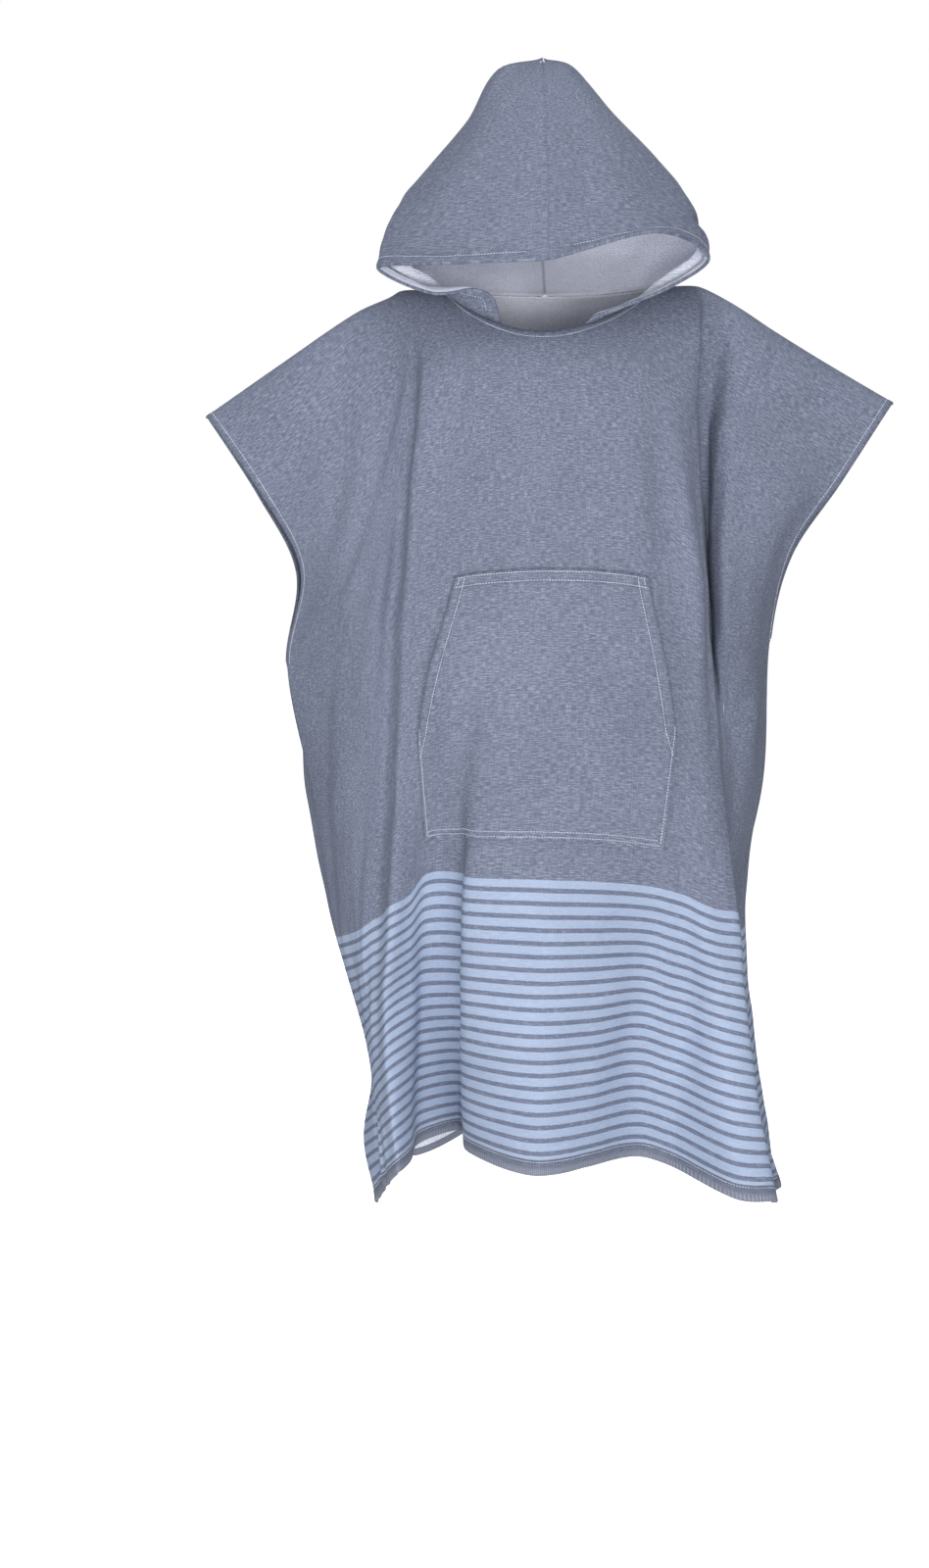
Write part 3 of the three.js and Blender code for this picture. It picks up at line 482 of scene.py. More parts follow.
# ---- materials ----
class Shader:
    """A small helper that adds nodes to one material."""

    def __init__(self, name, roughness, sheen, sheen_tint):
        self.material = bpy.data.materials.new(name)
        self.material.use_nodes = True
        self.tree = self.material.node_tree
        self.surface = self.tree.nodes["Principled BSDF"]
        for socket, value in (("Roughness", roughness), ("Specular IOR Level", 0.25), ("Sheen Weight", sheen),
                              ("Sheen Roughness", 0.5), ("Sheen Tint", (*sheen_tint, 1))):
            self.surface.inputs[socket].default_value = value
        uv = self.node("ShaderNodeUVMap")
        uv.uv_map = "cloth"
        self.uv = uv.outputs["UV"]
        split = self.node("ShaderNodeSeparateXYZ")
        self.link(self.uv, split.inputs[0])
        self.across = split.outputs["X"]
        self.down = split.outputs["Y"]

    def node(self, kind):
        return self.tree.nodes.new(kind)

    def link(self, source, socket):
        if isinstance(source, (int, float)):
            socket.default_value = source
        else:
            self.tree.links.new(source, socket)

    def math(self, operation, a, b=None, c=None):
        node = self.node("ShaderNodeMath")
        node.operation = operation
        for socket, value in zip(node.inputs, (a, b, c)):
            if value is not None:
                self.link(value, socket)
        return node.outputs[0]

    def stretched(self, across, down, shift=0.0):
        """The cloth's own coordinates, scaled so that a noise of scale 1 has that many grains a metre."""
        node = self.node("ShaderNodeMapping")
        self.link(self.uv, node.inputs["Vector"])
        node.inputs["Scale"].default_value = (across, down, 1)
        node.inputs["Location"].default_value = (shift, shift * 1.7, 0)
        return node.outputs[0]

    def noise(self, across, down, detail=1.0, shift=0.0, roughness=0.5):
        node = self.node("ShaderNodeTexNoise")
        node.noise_dimensions = "2D"
        node.inputs["Scale"].default_value = 1.0
        node.inputs["Detail"].default_value = detail
        node.inputs["Roughness"].default_value = roughness
        self.link(self.stretched(across, down, shift), node.inputs["Vector"])
        return node.outputs["Fac"]

    def ranged(self, value, low, high, to_low=0.0, to_high=1.0, smooth=True):
        node = self.node("ShaderNodeMapRange")
        node.interpolation_type = "SMOOTHSTEP" if smooth else "LINEAR"
        for socket, number in zip(("From Min", "From Max", "To Min", "To Max"), (low, high, to_low, to_high)):
            node.inputs[socket].default_value = number
        self.link(value, node.inputs["Value"])
        return node.outputs[0]

    def mix(self, factor, a, b):
        node = self.node("ShaderNodeMix")
        node.data_type = "RGBA"
        self.link(factor, node.inputs[0])
        for socket, value in ((node.inputs[6], a), (node.inputs[7], b)):
            if isinstance(value, tuple):
                socket.default_value = (*value, 1)
            else:
                self.tree.links.new(value, socket)
        return node.outputs[2]

    def scaled(self, colour, value):
        """A colour times a grey value."""
        node = self.node("ShaderNodeVectorMath")
        node.operation = "SCALE"
        self.tree.links.new(colour, node.inputs[0])
        self.link(value, node.inputs["Scale"])
        return node.outputs[0]

    def blend(self, parts):
        """The sum of (value, weight) pairs."""
        total = None
        for value, weight in parts:
            part = self.math("MULTIPLY", value, weight)
            total = part if total is None else self.math("ADD", total, part)
        return total

    def waves(self, place, pitch):
        return self.math("SINE", self.math("MULTIPLY", place, 2 * math.pi / pitch))

    def shaded_and_soiled(self, share):
        """1 on plain cloth, and less by up to that share in grooves and at sewn edges: painted shade there,
        with some soiling.
        """
        node = self.node("ShaderNodeAttribute")
        node.attribute_name = "seam_shade_and_soil"
        return self.math("SUBTRACT", 1.0, self.math("MULTIPLY", node.outputs["Fac"], share))

    def finish(self, colour, height, distance, strength=1.0):
        self.link(colour, self.surface.inputs["Base Color"])
        bump_node = self.node("ShaderNodeBump")
        bump_node.inputs["Distance"].default_value = distance
        bump_node.inputs["Strength"].default_value = strength
        self.link(height, bump_node.inputs["Height"])
        self.link(bump_node.outputs[0], self.surface.inputs["Normal"])
        return self.material


YARN_DARK = (0.118, 0.138, 0.205)
YARN_MEAN = (0.198, 0.220, 0.294)
YARN_LIGHT = (0.300, 0.324, 0.400)
STRIPE_BLUE = (0.365, 0.435, 0.580)
STRIPE_BLUE_DEEP = (0.312, 0.385, 0.540)
STRIPE_GREY = (0.132, 0.157, 0.235)
STRIPE_GREY_LIGHT = (0.215, 0.240, 0.322)
HEM_DARK = (0.120, 0.138, 0.195)
HEM_LIGHT = (0.290, 0.310, 0.370)
STRIPE_PITCH = 0.0151
STRIPE_BLUE_WIDTH = 0.0094
STRIPE_SOFTNESS = 0.0003
WEFT_PITCH = 0.00125
WARP_PITCH = 0.0011
HEM_RIB_PITCH = 0.0019
TAPE_RIB_PITCH = 0.0016
TWIST_PITCH = 0.0009
TERRY_LIGHT = (0.860, 0.885, 0.980)
TERRY_DARK = (0.690, 0.725, 0.860)


def chambray(name, striped):
    """Woven face: pale weft slubs across a blue-grey warp, with the striped foot where the cut has it."""
    s = Shader(name, 0.9, 0.05, (0.80, 0.85, 1.0))
    slubs = s.noise(150, 980, 1.0, 3.1)
    long_slubs = s.noise(34, 740, 1.0, 7.7)
    warp = s.noise(720, 75, 1.0, 1.3)
    heather = s.noise(560, 800, 1.0, 5.2)
    cloudy = s.noise(9, 7, 2.0, 2.4)
    yarn = s.blend([(slubs, 0.50), (long_slubs, 0.20), (warp, 0.16), (heather, 0.08)])
    dark = s.ranged(yarn, 0.40, 0.53)
    light = s.ranged(yarn, 0.53, 0.68)
    body = s.mix(light, s.mix(dark, YARN_DARK, YARN_MEAN), YARN_LIGHT)
    threads = s.waves(s.down, WEFT_PITCH)
    ends = s.waves(s.across, WARP_PITCH)
    weave = s.math("MULTIPLY_ADD", threads, 0.20, s.math("MULTIPLY", ends, 0.10))
    if striped:
        below = s.math("SUBTRACT", s.down, STRIPES_TOP * MM)
        phase = s.math("MULTIPLY", s.math("FRACT", s.math("DIVIDE", below, STRIPE_PITCH)), STRIPE_PITCH)
        edge = s.math("MULTIPLY", s.math("SUBTRACT", heather, 0.5), 0.0010)
        grey = s.ranged(s.math("ADD", phase, edge), STRIPE_BLUE_WIDTH - STRIPE_SOFTNESS,
                        STRIPE_BLUE_WIDTH + STRIPE_SOFTNESS)
        grey = s.math("MULTIPLY", grey, s.ranged(phase, STRIPE_PITCH - 0.0004, STRIPE_PITCH, 1.0, 0.0))
        blue = s.mix(s.ranged(yarn, 0.42, 0.60), STRIPE_BLUE_DEEP, STRIPE_BLUE)
        blue = s.mix(s.ranged(slubs, 0.2, 0.8, 0.0, 0.35), blue, STRIPE_BLUE)
        lines = s.mix(s.ranged(yarn, 0.44, 0.62), STRIPE_GREY, STRIPE_GREY_LIGHT)
        foot = s.mix(grey, blue, lines)
        in_foot = s.ranged(s.math("ADD", below, edge), 0.0, 0.0008)
        in_hem = s.ranged(s.down, HEM_TOP * MM - 0.0004, HEM_TOP * MM + 0.0004)
        body_foot = s.mix(in_foot, body, foot)
        ribs = s.waves(s.across, HEM_RIB_PITCH)
        rib_zone = s.ranged(s.down, (LENGTH - 9) * MM, (LENGTH - 4) * MM)
        rib_light = s.ranged(s.math("ADD", ribs, heather), -0.2, 1.2, 0.15, 0.75)
        hem_light = s.math("MULTIPLY", rib_zone, rib_light)
        hem = s.mix(hem_light, s.mix(0.5, body, HEM_DARK), HEM_LIGHT)
        colour = s.mix(in_hem, body_foot, hem)
        weave = s.math("MULTIPLY_ADD", s.math("MULTIPLY", rib_zone, ribs), 0.3, weave)
    else:
        colour = body
    tone = s.ranged(cloudy, 0.3, 0.7, 0.955, 1.045, smooth=False)
    # painted shade in seam grooves and at sewn edges, with some soiling, darkens the colour
    tone = s.math("MULTIPLY", tone, s.shaded_and_soiled(0.45))
    height = s.math("ADD", s.math("MULTIPLY", yarn, 1.6), weave)
    return s.finish(s.scaled(colour, tone), height, 0.00045, 0.9)


def terry(name):
    """The pile side: close loops, pale, with painted shade in the depths between them."""
    s = Shader(name, 0.97, 0.2, (0.92, 0.94, 1.0))
    loops = s.node("ShaderNodeTexVoronoi")
    loops.voronoi_dimensions = "2D"
    loops.inputs["Scale"].default_value = 1.0
    s.link(s.stretched(520, 440, 0.7), loops.inputs["Vector"])
    crown = s.ranged(loops.outputs["Distance"], 0.05, 0.75, 1.0, 0.0)
    tufts = s.noise(160, 150, 3.0, 4.4, 0.6)
    rows = s.noise(50, 380, 1.0, 9.1)
    matted = s.noise(14, 11, 2.0, 6.1)
    pile = s.blend([(crown, 0.45), (tufts, 0.40), (rows, 0.20)])
    # darker where the pile is low: painted shade in the depths between loops, mixed with random tuft tone
    colour = s.mix(s.ranged(pile, 0.30, 0.72), TERRY_DARK, TERRY_LIGHT)
    tone = s.ranged(matted, 0.3, 0.7, 0.94, 1.04, smooth=False)
    # painted shade in seam grooves and at sewn edges, with some soiling, darkens the pile
    tone = s.math("MULTIPLY", tone, s.shaded_and_soiled(0.35))
    return s.finish(s.scaled(colour, tone), pile, 0.0015, 0.8)


def twill(name):
    """Pale tape with fine slanting ribs."""
    s = Shader(name, 0.8, 0.15, (1.0, 1.0, 1.0))
    slant = s.math("ADD", s.math("MULTIPLY", s.across, 1.0), s.math("MULTIPLY", s.down, 0.6))
    ribs = s.waves(slant, TAPE_RIB_PITCH)
    fibres = s.noise(700, 500, 2.0, 2.2)
    mixed = s.math("MULTIPLY_ADD", ribs, 0.25, fibres)
    colour = s.mix(s.ranged(mixed, 0.25, 0.8), (0.46, 0.49, 0.60), (0.62, 0.655, 0.76))
    # painted shade along the tape's edges, with some soiling, darkens its colour
    return s.finish(s.scaled(colour, s.shaded_and_soiled(0.3)), mixed, 0.0004, 0.7)


def thread(name):
    """Pale sewing thread, twisted."""
    s = Shader(name, 0.6, 0.1, (1.0, 1.0, 1.0))
    twist = s.waves(s.across, TWIST_PITCH)
    shade = s.noise(40, 40, 1.0, 3.3)
    colour = s.mix(s.ranged(shade, 0.3, 0.7), (0.52, 0.56, 0.68), (0.70, 0.74, 0.84))
    return s.finish(colour, twist, 0.0001, 0.5)


CHAMBRAY = chambray("chambray_striped", True)
CHAMBRAY_PLAIN = chambray("chambray_plain", False)
TERRY = terry("terry_pile")
TWILL = twill("twill_tape")
THREAD = thread("sewing_thread")


# ---- the panels ----
def hem_share(down):
    return smoothstep(down, HEM_TOP - 1.5, HEM_TOP + 1.5)


def sleeve_share(from_edge):
    return 1 - smoothstep(from_edge, SLEEVE_HEM - 1, SLEEVE_HEM + 1)


def toward_neck(points):
    """Level directions from the points to the middle of the neck."""
    aside, ahead = NECK_CENTRE
    level = np.zeros(points.shape[:-1])
    return unit(np.stack([aside - points[..., 0], ahead - points[..., 1], level], axis=-1))


class Panel:
    """One panel: its place, outward normal and dressed outer surface at any across and down."""
    STEP = 1.5

    def __init__(self, place, side, drop, creases, shift):
        self.base = place
        self.side = side
        self.drop = drop
        self.creases = creases
        self.shift = shift

    def outward(self, across, down):
        over = self.base(across + self.STEP, down) - self.base(across - self.STEP, down)
        along = self.base(across, down + self.STEP) - self.base(across, down - self.STEP)
        return unit(np.cross(along, over)) * -self.side

    def height(self, across, down):
        """How far creases, hems and seams lift the outer face off the plain surface."""
        from_edge = HALF_WIDTH - np.abs(across)
        from_neck = down - neck_edge(across, self.drop)
        calm = smoothstep(from_edge, 0, 30) * smoothstep(from_neck, 0, 26)
        height = (crease_height(self.creases, across, down) + uneven(across, down, self.shift)) * calm
        height += 0.55 * hem_share(down)
        height -= 0.8 * bump(down - HEM_STITCH, 1.6)
        open_side = down < SLEEVE_END
        height += np.where(open_side, 0.5 * sleeve_share(from_edge), 0)
        height -= np.where(open_side, 0.5 * bump(from_edge - SLEEVE_HEM + 2, 1.4), 0)
        sewn = smoothstep(down, ARM_OPENING - 8, ARM_OPENING + 4)
        height -= 1.6 * sewn * bump(from_edge, 2.4)
        round_neck = np.abs(across) < NECK_HALF_WIDTH
        grooves = 0.9 * bump(from_neck, 2.0) + 0.5 * bump(from_neck - NECK_STITCH, 1.6)
        height -= np.where(round_neck, grooves, 0)
        return height

    def at(self, across, down, lift=0.0):
        across = np.asarray(across, float)
        down = np.asarray(down, float)
        normal = self.outward(across, down)
        return self.base(across, down) + normal * (self.height(across, down) + lift)[:, None], normal


FRONT = Panel(front_place, -1, FRONT_NECK_DROP, FRONT_CREASES, 0.0)
BACK = Panel(back_place, 1, BACK_NECK_DROP, BACK_CREASES, 2.3)


def lines_between(stops):
    """Grid lines from (start, end, step) stretches, in order."""
    lines = []
    for start, end, step in stops:
        count = max(round((end - start) / step), 1)
        lines += [start + (end - start) * k / count for k in range(count)]
    return np.array(lines + [stops[-1][1]])


FRONT_COLUMNS = lines_between([
    (-450, -446, 1.4), (-446, -436, 2.5), (-436, -226, 5.2), (-226, -136, 3.0), (-136, -124, 2.0),
    (-124, -100, 3.0), (-100, -58, 3.2), (-58, 58, 5.2), (58, 124, 4.4), (124, 136, 2.0), (136, 176, 3.4),
    (176, 316, 2.7), (316, 436, 5.0), (436, 446, 2.5), (446, 450, 1.4)])
BACK_COLUMNS = lines_between([
    (-450, -446, 1.4), (-446, -436, 2.5), (-436, -136, 5.0), (-136, -122, 2.0), (-122, 122, 4.6),
    (122, 136, 2.0), (136, 436, 5.0), (436, 446, 2.5), (446, 450, 1.4)])
PANEL_ROWS = lines_between([
    (0, 4, 1.4), (4, 18, 2.8), (18, 360, 6.3), (360, 384, 4.0), (384, 1040, 6.5), (1040, 1050, 3.0),
    (1050, 1060, 1.4), (1060, 1066, 2.5), (1066, 1070, 1.4)])


RIDGE_ROOM = 0.7                 # the share of a ridge's radius that its wall may fill
THINNEST = 0.5
HEM_EXTRA = 1.4
SLEEVE_EXTRA = 1.0


def ridge_limit(outer, normal):
    """The thickest wall that a grid's sharp ridges leave room for, at each point."""
    along = np.gradient(outer, axis=1)
    turn = np.gradient(normal, axis=1)
    bend = (turn * along).sum(axis=2) / np.maximum((along * along).sum(axis=2), 1e-9)
    for _ in range(2):
        bend[:, 1:-1] = np.maximum(bend[:, 1:-1], 0.85 * np.maximum(bend[:, :-2], bend[:, 2:]))
    return RIDGE_ROOM / np.maximum(bend, 1e-6)


def panel_piece(name, panel, columns):
    """The dressed cloth of one panel as a closed thin shell, its turned hem showing woven face inside."""
    order = columns if panel.side < 0 else columns[::-1]
    share, across = np.meshgrid(PANEL_ROWS / LENGTH, order, indexing="ij")
    down = share * LENGTH + neck_edge(across, panel.drop) * (1 - share) ** 3
    shape = share.shape
    outer, normal = panel.at(across.reshape(-1), down.reshape(-1))
    outer = outer.reshape(*shape, 3)
    normal = normal.reshape(*shape, 3)
    from_edge = HALF_WIDTH - np.abs(across)
    sleeve = (down < SLEEVE_END) * sleeve_share(from_edge)
    full = CLOTH + HEM_EXTRA * hem_share(down) + SLEEVE_EXTRA * sleeve
    thick = np.minimum(full, np.maximum(ridge_limit(outer, normal), THINNEST))
    inward = -normal
    top = np.arange(shape[0])[:, None] == 0
    neck = top & (np.abs(across) < NECK_HALF_WIDTH)
    inward = np.where(neck[..., None], toward_neck(outer), inward)
    fold = top & ~neck
    under = np.array([0.0, 0.0, -1.0])
    inward = np.where(fold[..., None], under, inward)
    sewn = (from_edge == 0) * smoothstep(down, ARM_OPENING - 60, ARM_OPENING)
    sideways = np.stack([-np.sign(across), np.zeros(shape), np.zeros(shape)], axis=-1)
    inward = unit(inward * (1 - sewn[..., None]) + sideways * sewn[..., None])
    inner = outer + inward * thick[..., None]
    apart = (from_edge == 0) | fold
    outer[apart, 1] += panel.side * SEAM_GAP / 2
    inner[apart, 1] += panel.side * SEAM_GAP / 2
    uv = np.stack([across, down], axis=-1)
    # painted shade in the side seam, hem stitch, sleeve edge and neck grooves, with some soiling
    seam_shade_and_soil = 0.9 * smoothstep(down, SLEEVE_END, ARM_OPENING + 4) * bump(from_edge, 2.2)
    seam_shade_and_soil += 0.55 * bump(down - HEM_STITCH, 1.2)
    seam_shade_and_soil += 0.5 * (down < ARM_OPENING) * bump(from_edge - 1, 3.2)
    seam_shade_and_soil += 0.35 * (np.abs(across) < NECK_HALF_WIDTH) * bump(down - neck_edge(across, panel.drop), 2.0)
    turned = (down > LENGTH - TURNED_IN) | (sleeve > 0.5)
    inner_slot = np.where(turned[:-1, :-1] & turned[1:, 1:], 0, 1)
    return shell(name, outer, inner, uv, np.clip(seam_shade_and_soil, 0, 1), inner_slot, (CHAMBRAY, TERRY),
                 flat_columns=(0, -1))


front_cloth = panel_piece("front_cloth", FRONT, FRONT_COLUMNS)
back_cloth = panel_piece("back_cloth", BACK, BACK_COLUMNS)


# ---- the hood ----
NECK_COLUMNS = len(FRONT_NECK_COLUMNS) + len(BACK_NECK_COLUMNS) - 2
HOOD_COLUMN_LINES = lines_between([(0, 0.5, 0.07), (0.5, 4, 0.14), (4, 11.4, 0.2), (11.4, 12, 0.1)])
HOOD_ROW_LINES = lines_between([
    (0, 0.02, 0.005), (0.02, 0.12, 0.01), (0.12, 0.56, 0.0125), (0.56, 0.64, 0.008), (0.64, 0.97, 0.0125),
    (0.97, 1.0, 0.006)])
BRIM_HEM = 14
BRIM_EXTRA = 1.2
HOOD_AXIS = (-5, 0)
HOOD_RADIUS = 125
HOOD_TOP = 260
HOOD_TILT = 9
HOOD_SLOPE = 1.12                # cloth length for each unit of height


def neck_seam(side, columns):
    """Points of the panels' neck edge, from the hood's front corner to the middle of the back."""
    corner = len(FRONT_NECK_COLUMNS) - 1
    front = np.interp(columns, np.arange(corner + 1), FRONT_NECK_COLUMNS)
    back = np.interp(columns - corner, np.arange(len(BACK_NECK_COLUMNS)), BACK_NECK_COLUMNS)
    on_front = front_place(side * front, neck_edge(front, FRONT_NECK_DROP))
    on_back = back_place(side * back, neck_edge(back, BACK_NECK_DROP))
    return np.where((columns <= corner)[:, None], on_front, on_back)


def table_surface(rows):
    knots, points = split_table(rows)

    def place(height, share):
        lines = np.stack([spline(knots, points[:, c][:, None], height) for c in range(len(HOOD_PLACES))])
        return spline(HOOD_PLACES, lines, share)
    return place


class HoodHalf:
    def __init__(self, bands, creases, side):
        self.side = side
        self.creases = creases
        self.whole = table_surface(bands)
        self.lower = table_surface([band for band in bands if band[1] <= BRIM_MIDDLE])
        self.upper = table_surface([band for band in bands if band[1] >= BRIM_MIDDLE])

    def plain(self, height, share):
        below = (height <= BRIM_MIDDLE)[:, None]
        part = np.where(below, self.lower(height, share), self.upper(height, share))
        reach = smoothstep(share, 0, CORNER_REACH)[:, None]
        return part * (1 - reach) + self.whole(height, share) * reach

    def base(self, height, column):
        """A place on the hood by height share and neck column, settled on the true neck seam."""
        share = column / NECK_COLUMNS
        settle = (np.maximum(1 - height / HOOD_NECK_BLEND, 0) ** 2)[:, None]
        start = neck_seam(self.side, column) + np.array([0, 0, NECK_CLEARANCE])
        spot = self.plain(height, share)
        return spot + (start - self.plain(np.zeros_like(height), share)) * settle

    def grid(self):
        height, column = np.meshgrid(HOOD_ROW_LINES, HOOD_COLUMN_LINES, indexing="ij")
        outer = self.base(height.reshape(-1), column.reshape(-1)).reshape(*height.shape, 3)
        return height, column / NECK_COLUMNS, outer


HOOD_UNEVEN = [(0.31, 0.9, 0.3, 0.6), (0.17, 0.44, 2.2, 0.35), (0.09, 1.3, 4.0, 0.2)]


def brim_share(from_front):
    return 1 - smoothstep(from_front, BRIM_HEM - 1.5, BRIM_HEM + 1.5)


def hood_height(half, height, share, from_front, from_back):
    """Lift of the hood's outer face: creases, the turned brim, and the seams' grooves."""
    total = np.zeros_like(height)
    for _name, start, end, half_width, depth in half.creases:
        along, aside = along_line(height, share, start, end)
        fade = smoothstep(along, -0.1, 0.3) * (1 - smoothstep(along, 0.7, 1.1))
        total += depth * fade * bump(aside, half_width)
    for wide, tall, phase, amount in HOOD_UNEVEN:
        total += amount * np.sin(2 * math.pi * (share / wide + height / tall) + phase + half.side)
    calm = smoothstep(from_front, 0, 22) * smoothstep(from_back, 0, 18) * smoothstep(height, 0, 0.08)
    total *= calm * (1 - smoothstep(height, 0.94, 1.0))
    for side, at_height, at_share, half_width, depth in CORNER_GATHERS:
        if side == half.side:
            total += depth * bump(np.hypot(height - at_height, (share - at_share) * 0.5), half_width)
    on_brim = 1 - smoothstep(height, BRIM_MIDDLE - 0.01, BRIM_MIDDLE + 0.02)
    total += on_brim * (0.9 * brim_share(from_front) - 0.9 * bump(from_front - BRIM_HEM + 2, 2.0))
    seam = 1 - on_brim
    total -= seam * (0.8 * bump(from_front, 2.0) - 0.4 * bump(from_front - 6, 3.0))
    pucker = np.sin(2 * math.pi * 19 * height + 1.1 * half.side) + 0.7 * np.sin(2 * math.pi * 11.7 * height)
    total += on_brim * 0.35 * pucker * bump(from_front - 10, 7.0)
    total -= 1.3 * bump(from_back, 2.6) - 0.4 * bump(from_back - 6, 3.0)
    return total


def rightward(block, side):
    """A hood half's grid with its columns running to the right, as seen from outside."""
    return block if side < 0 else block[:, ::-1]


def square_share(grid):
    """How squarely each row of the hood leaves its opening edge, as the sine of the angle between them."""
    tangent = unit(np.gradient(grid[:, 0], axis=0))
    row_way = unit(grid[:, 3] - grid[:, 0])
    return np.maximum(np.linalg.norm(np.cross(tangent, row_way), axis=1), 0.4)


def hood_piece(name, bands, creases, side):
    half = HoodHalf(bands, creases, side)
    height, share, plain = half.grid()
    steps = np.linalg.norm(np.diff(plain, axis=1), axis=2)
    from_front = np.concatenate([np.zeros((len(height), 1)), np.cumsum(steps, axis=1)], axis=1)
    from_back = from_front[:, -1:] - from_front
    from_front *= square_share(plain)[:, None]
    normal = grid_normals(plain) * -side
    crown = np.arange(len(height))[:, None] == len(height) - 1
    lift = hood_height(half, height, share, from_front, from_back)
    lift = np.where(crown, 0, lift)
    outer = plain + normal * lift[..., None]
    inward = -normal
    inward = np.where((height == 0)[..., None], toward_neck(outer), inward)
    on_seam = (share == 1) | (height == 1) | ((share == 0) & (height >= BRIM_MIDDLE))
    flat = inward.copy()
    flat[..., 0] = 0
    inward = np.where(on_seam[..., None], unit(flat), inward)
    brim = (height < BRIM_MIDDLE) * brim_share(from_front)
    inner = outer + inward * (HOOD_CLOTH + BRIM_EXTRA * brim)[..., None]
    outer[..., 0] += side * SEAM_GAP / 2
    inner[..., 0] += side * SEAM_GAP / 2
    around = np.arctan2(plain[..., 0] - HOOD_AXIS[0], HOOD_AXIS[1] - plain[..., 1])
    around = np.where(side * around < -0.3, around + side * 2 * math.pi, around)
    below_top = HOOD_SLOPE * (HOOD_TOP - plain[..., 2]) - HOOD_TILT * around * side
    uv = np.stack([around * HOOD_RADIUS, below_top], axis=-1)
    # painted shade along the seams, the brim stitching and the neck seam, with some soiling
    seam = (height > BRIM_MIDDLE) * bump(from_front, 1.8)
    seam_shade_and_soil = np.maximum(0.25 * seam, 0.7 * bump(from_back, 1.8))
    seam_shade_and_soil += 0.5 * (height < BRIM_MIDDLE) * bump(from_front - BRIM_HEM + 2, 1.4)
    seam_shade_and_soil += 0.8 * bump(height, 0.008)
    turned = brim > 0.5
    inner_slot = np.where(turned[:-1, :-1] & turned[1:, 1:], 0, 1)
    outside = [rightward(block, side) for block in (outer, inner, uv, np.clip(seam_shade_and_soil, 0, 1), inner_slot)]
    piece = shell(name, *outside, (CHAMBRAY_PLAIN, TERRY), flat_rows=(0, -1),
                  flat_columns=(-1,) if side < 0 else (0,))
    return piece, {"outer": outer, "inner": inner, "from_front": from_front, "normal": normal}


hood_left_cloth, left_grid = hood_piece("hood_left_cloth", HOOD_LEFT_BANDS, HOOD_LEFT_CREASES, -1)
hood_right_cloth, right_grid = hood_piece("hood_right_cloth", HOOD_RIGHT_BANDS, HOOD_RIGHT_CREASES, 1)


def points_at(places, distance, line):
    """The points of a line at the given distances along it."""
    return np.stack([np.interp(places, distance, line[:, k]) for k in range(3)], axis=-1)


TAPE_INSET = 0.8
TAPE_STEPS = 8
TAPE_FIRST_ROW = 3
TAPE_STANDS_OFF = 0.25


def tape_piece(name, grid, side):
    """Twill tape inside the opening edge: a thin soft-edged strip along the turned brim."""
    shares = np.arange(TAPE_STEPS + 1)
    stops = TAPE_INSET + TAPE_WIDTH * shares / TAPE_STEPS
    crown = np.sin(math.pi * shares / TAPE_STEPS) ** 0.5
    last_row = int(np.searchsorted(HOOD_ROW_LINES, BRIM_MIDDLE - 0.01))
    near, far, uvs = [], [], []
    run = 0.0
    previous = None
    for r in range(TAPE_FIRST_ROW, last_row):
        distance = grid["from_front"][r]
        line = points_at(stops, distance, grid["inner"][r])
        off = unit(line - points_at(stops, distance, grid["outer"][r]))
        if previous is not None:
            run += np.linalg.norm(line[0] - previous)
        previous = line[0]
        near.append(line + off * TAPE_STANDS_OFF)
        far.append(line + off * (TAPE_STANDS_OFF + 0.1 + TAPE_CLOTH * crown[:, None]))
        uvs.append(np.stack([stops, np.full(len(stops), run)], axis=-1))
    near, far, uvs = np.array(near), np.array(far), np.array(uvs)
    # painted shade along both edges of the tape, with some soiling
    seam_shade_and_soil = np.zeros(near.shape[:2])
    seam_shade_and_soil[:, 0] = seam_shade_and_soil[:, -1] = 0.6
    slots = np.zeros((near.shape[0] - 1, near.shape[1] - 1), int)
    outside = [rightward(block, side) for block in (near, far, uvs, seam_shade_and_soil)]
    return shell(name, *outside, slots, (TWILL,), flat_columns=(0, -1))


hood_left_tape = tape_piece("hood_left_tape", left_grid, -1)
hood_right_tape = tape_piece("hood_right_tape", right_grid, 1)


# ---- the pocket ----
POCKET_HEM = 14
EDGE_ROW = 3                     # how far in the sewing lines of the pocket's foot and sides run
FOOT_ROW = 9
POCKET_CREASES = [
  ("left shade", (-78, 440), (-96, 640), 6, 14, -2.4),
  ("left ridge", (-52, 430), (-66, 600), 5, 14, 1.4),
  ("hand slack, left", (-128, 470), (-100, 600), 6, 12, 1.6),
  ("hand slack, right", (122, 470), (100, 610), -6, 14, -1.6),
  ("lower right", (40, 600), (96, 672), 4, 16, -1.2),
]


def pocket_side(down, which):
    downs = [row[1] for row in POCKET_OUTLINE]
    return np.interp(down, downs, [row[which] for row in POCKET_OUTLINE])


TOP, ELBOW, BOTTOM = (row[1] for row in POCKET_OUTLINE)


def pocket_stand(share, place, down):
    """How far the pocket's inner face stands off the panel."""
    hand = np.where(down < ELBOW, 0.75 * np.sin(math.pi * (down - TOP) / (ELBOW - TOP)), 0)
    loose = hand + (1 - hand) * np.sin(math.pi * place)
    return POCKET_CLEARANCE + POCKET_BULGE * np.sin(math.pi * share) * loose


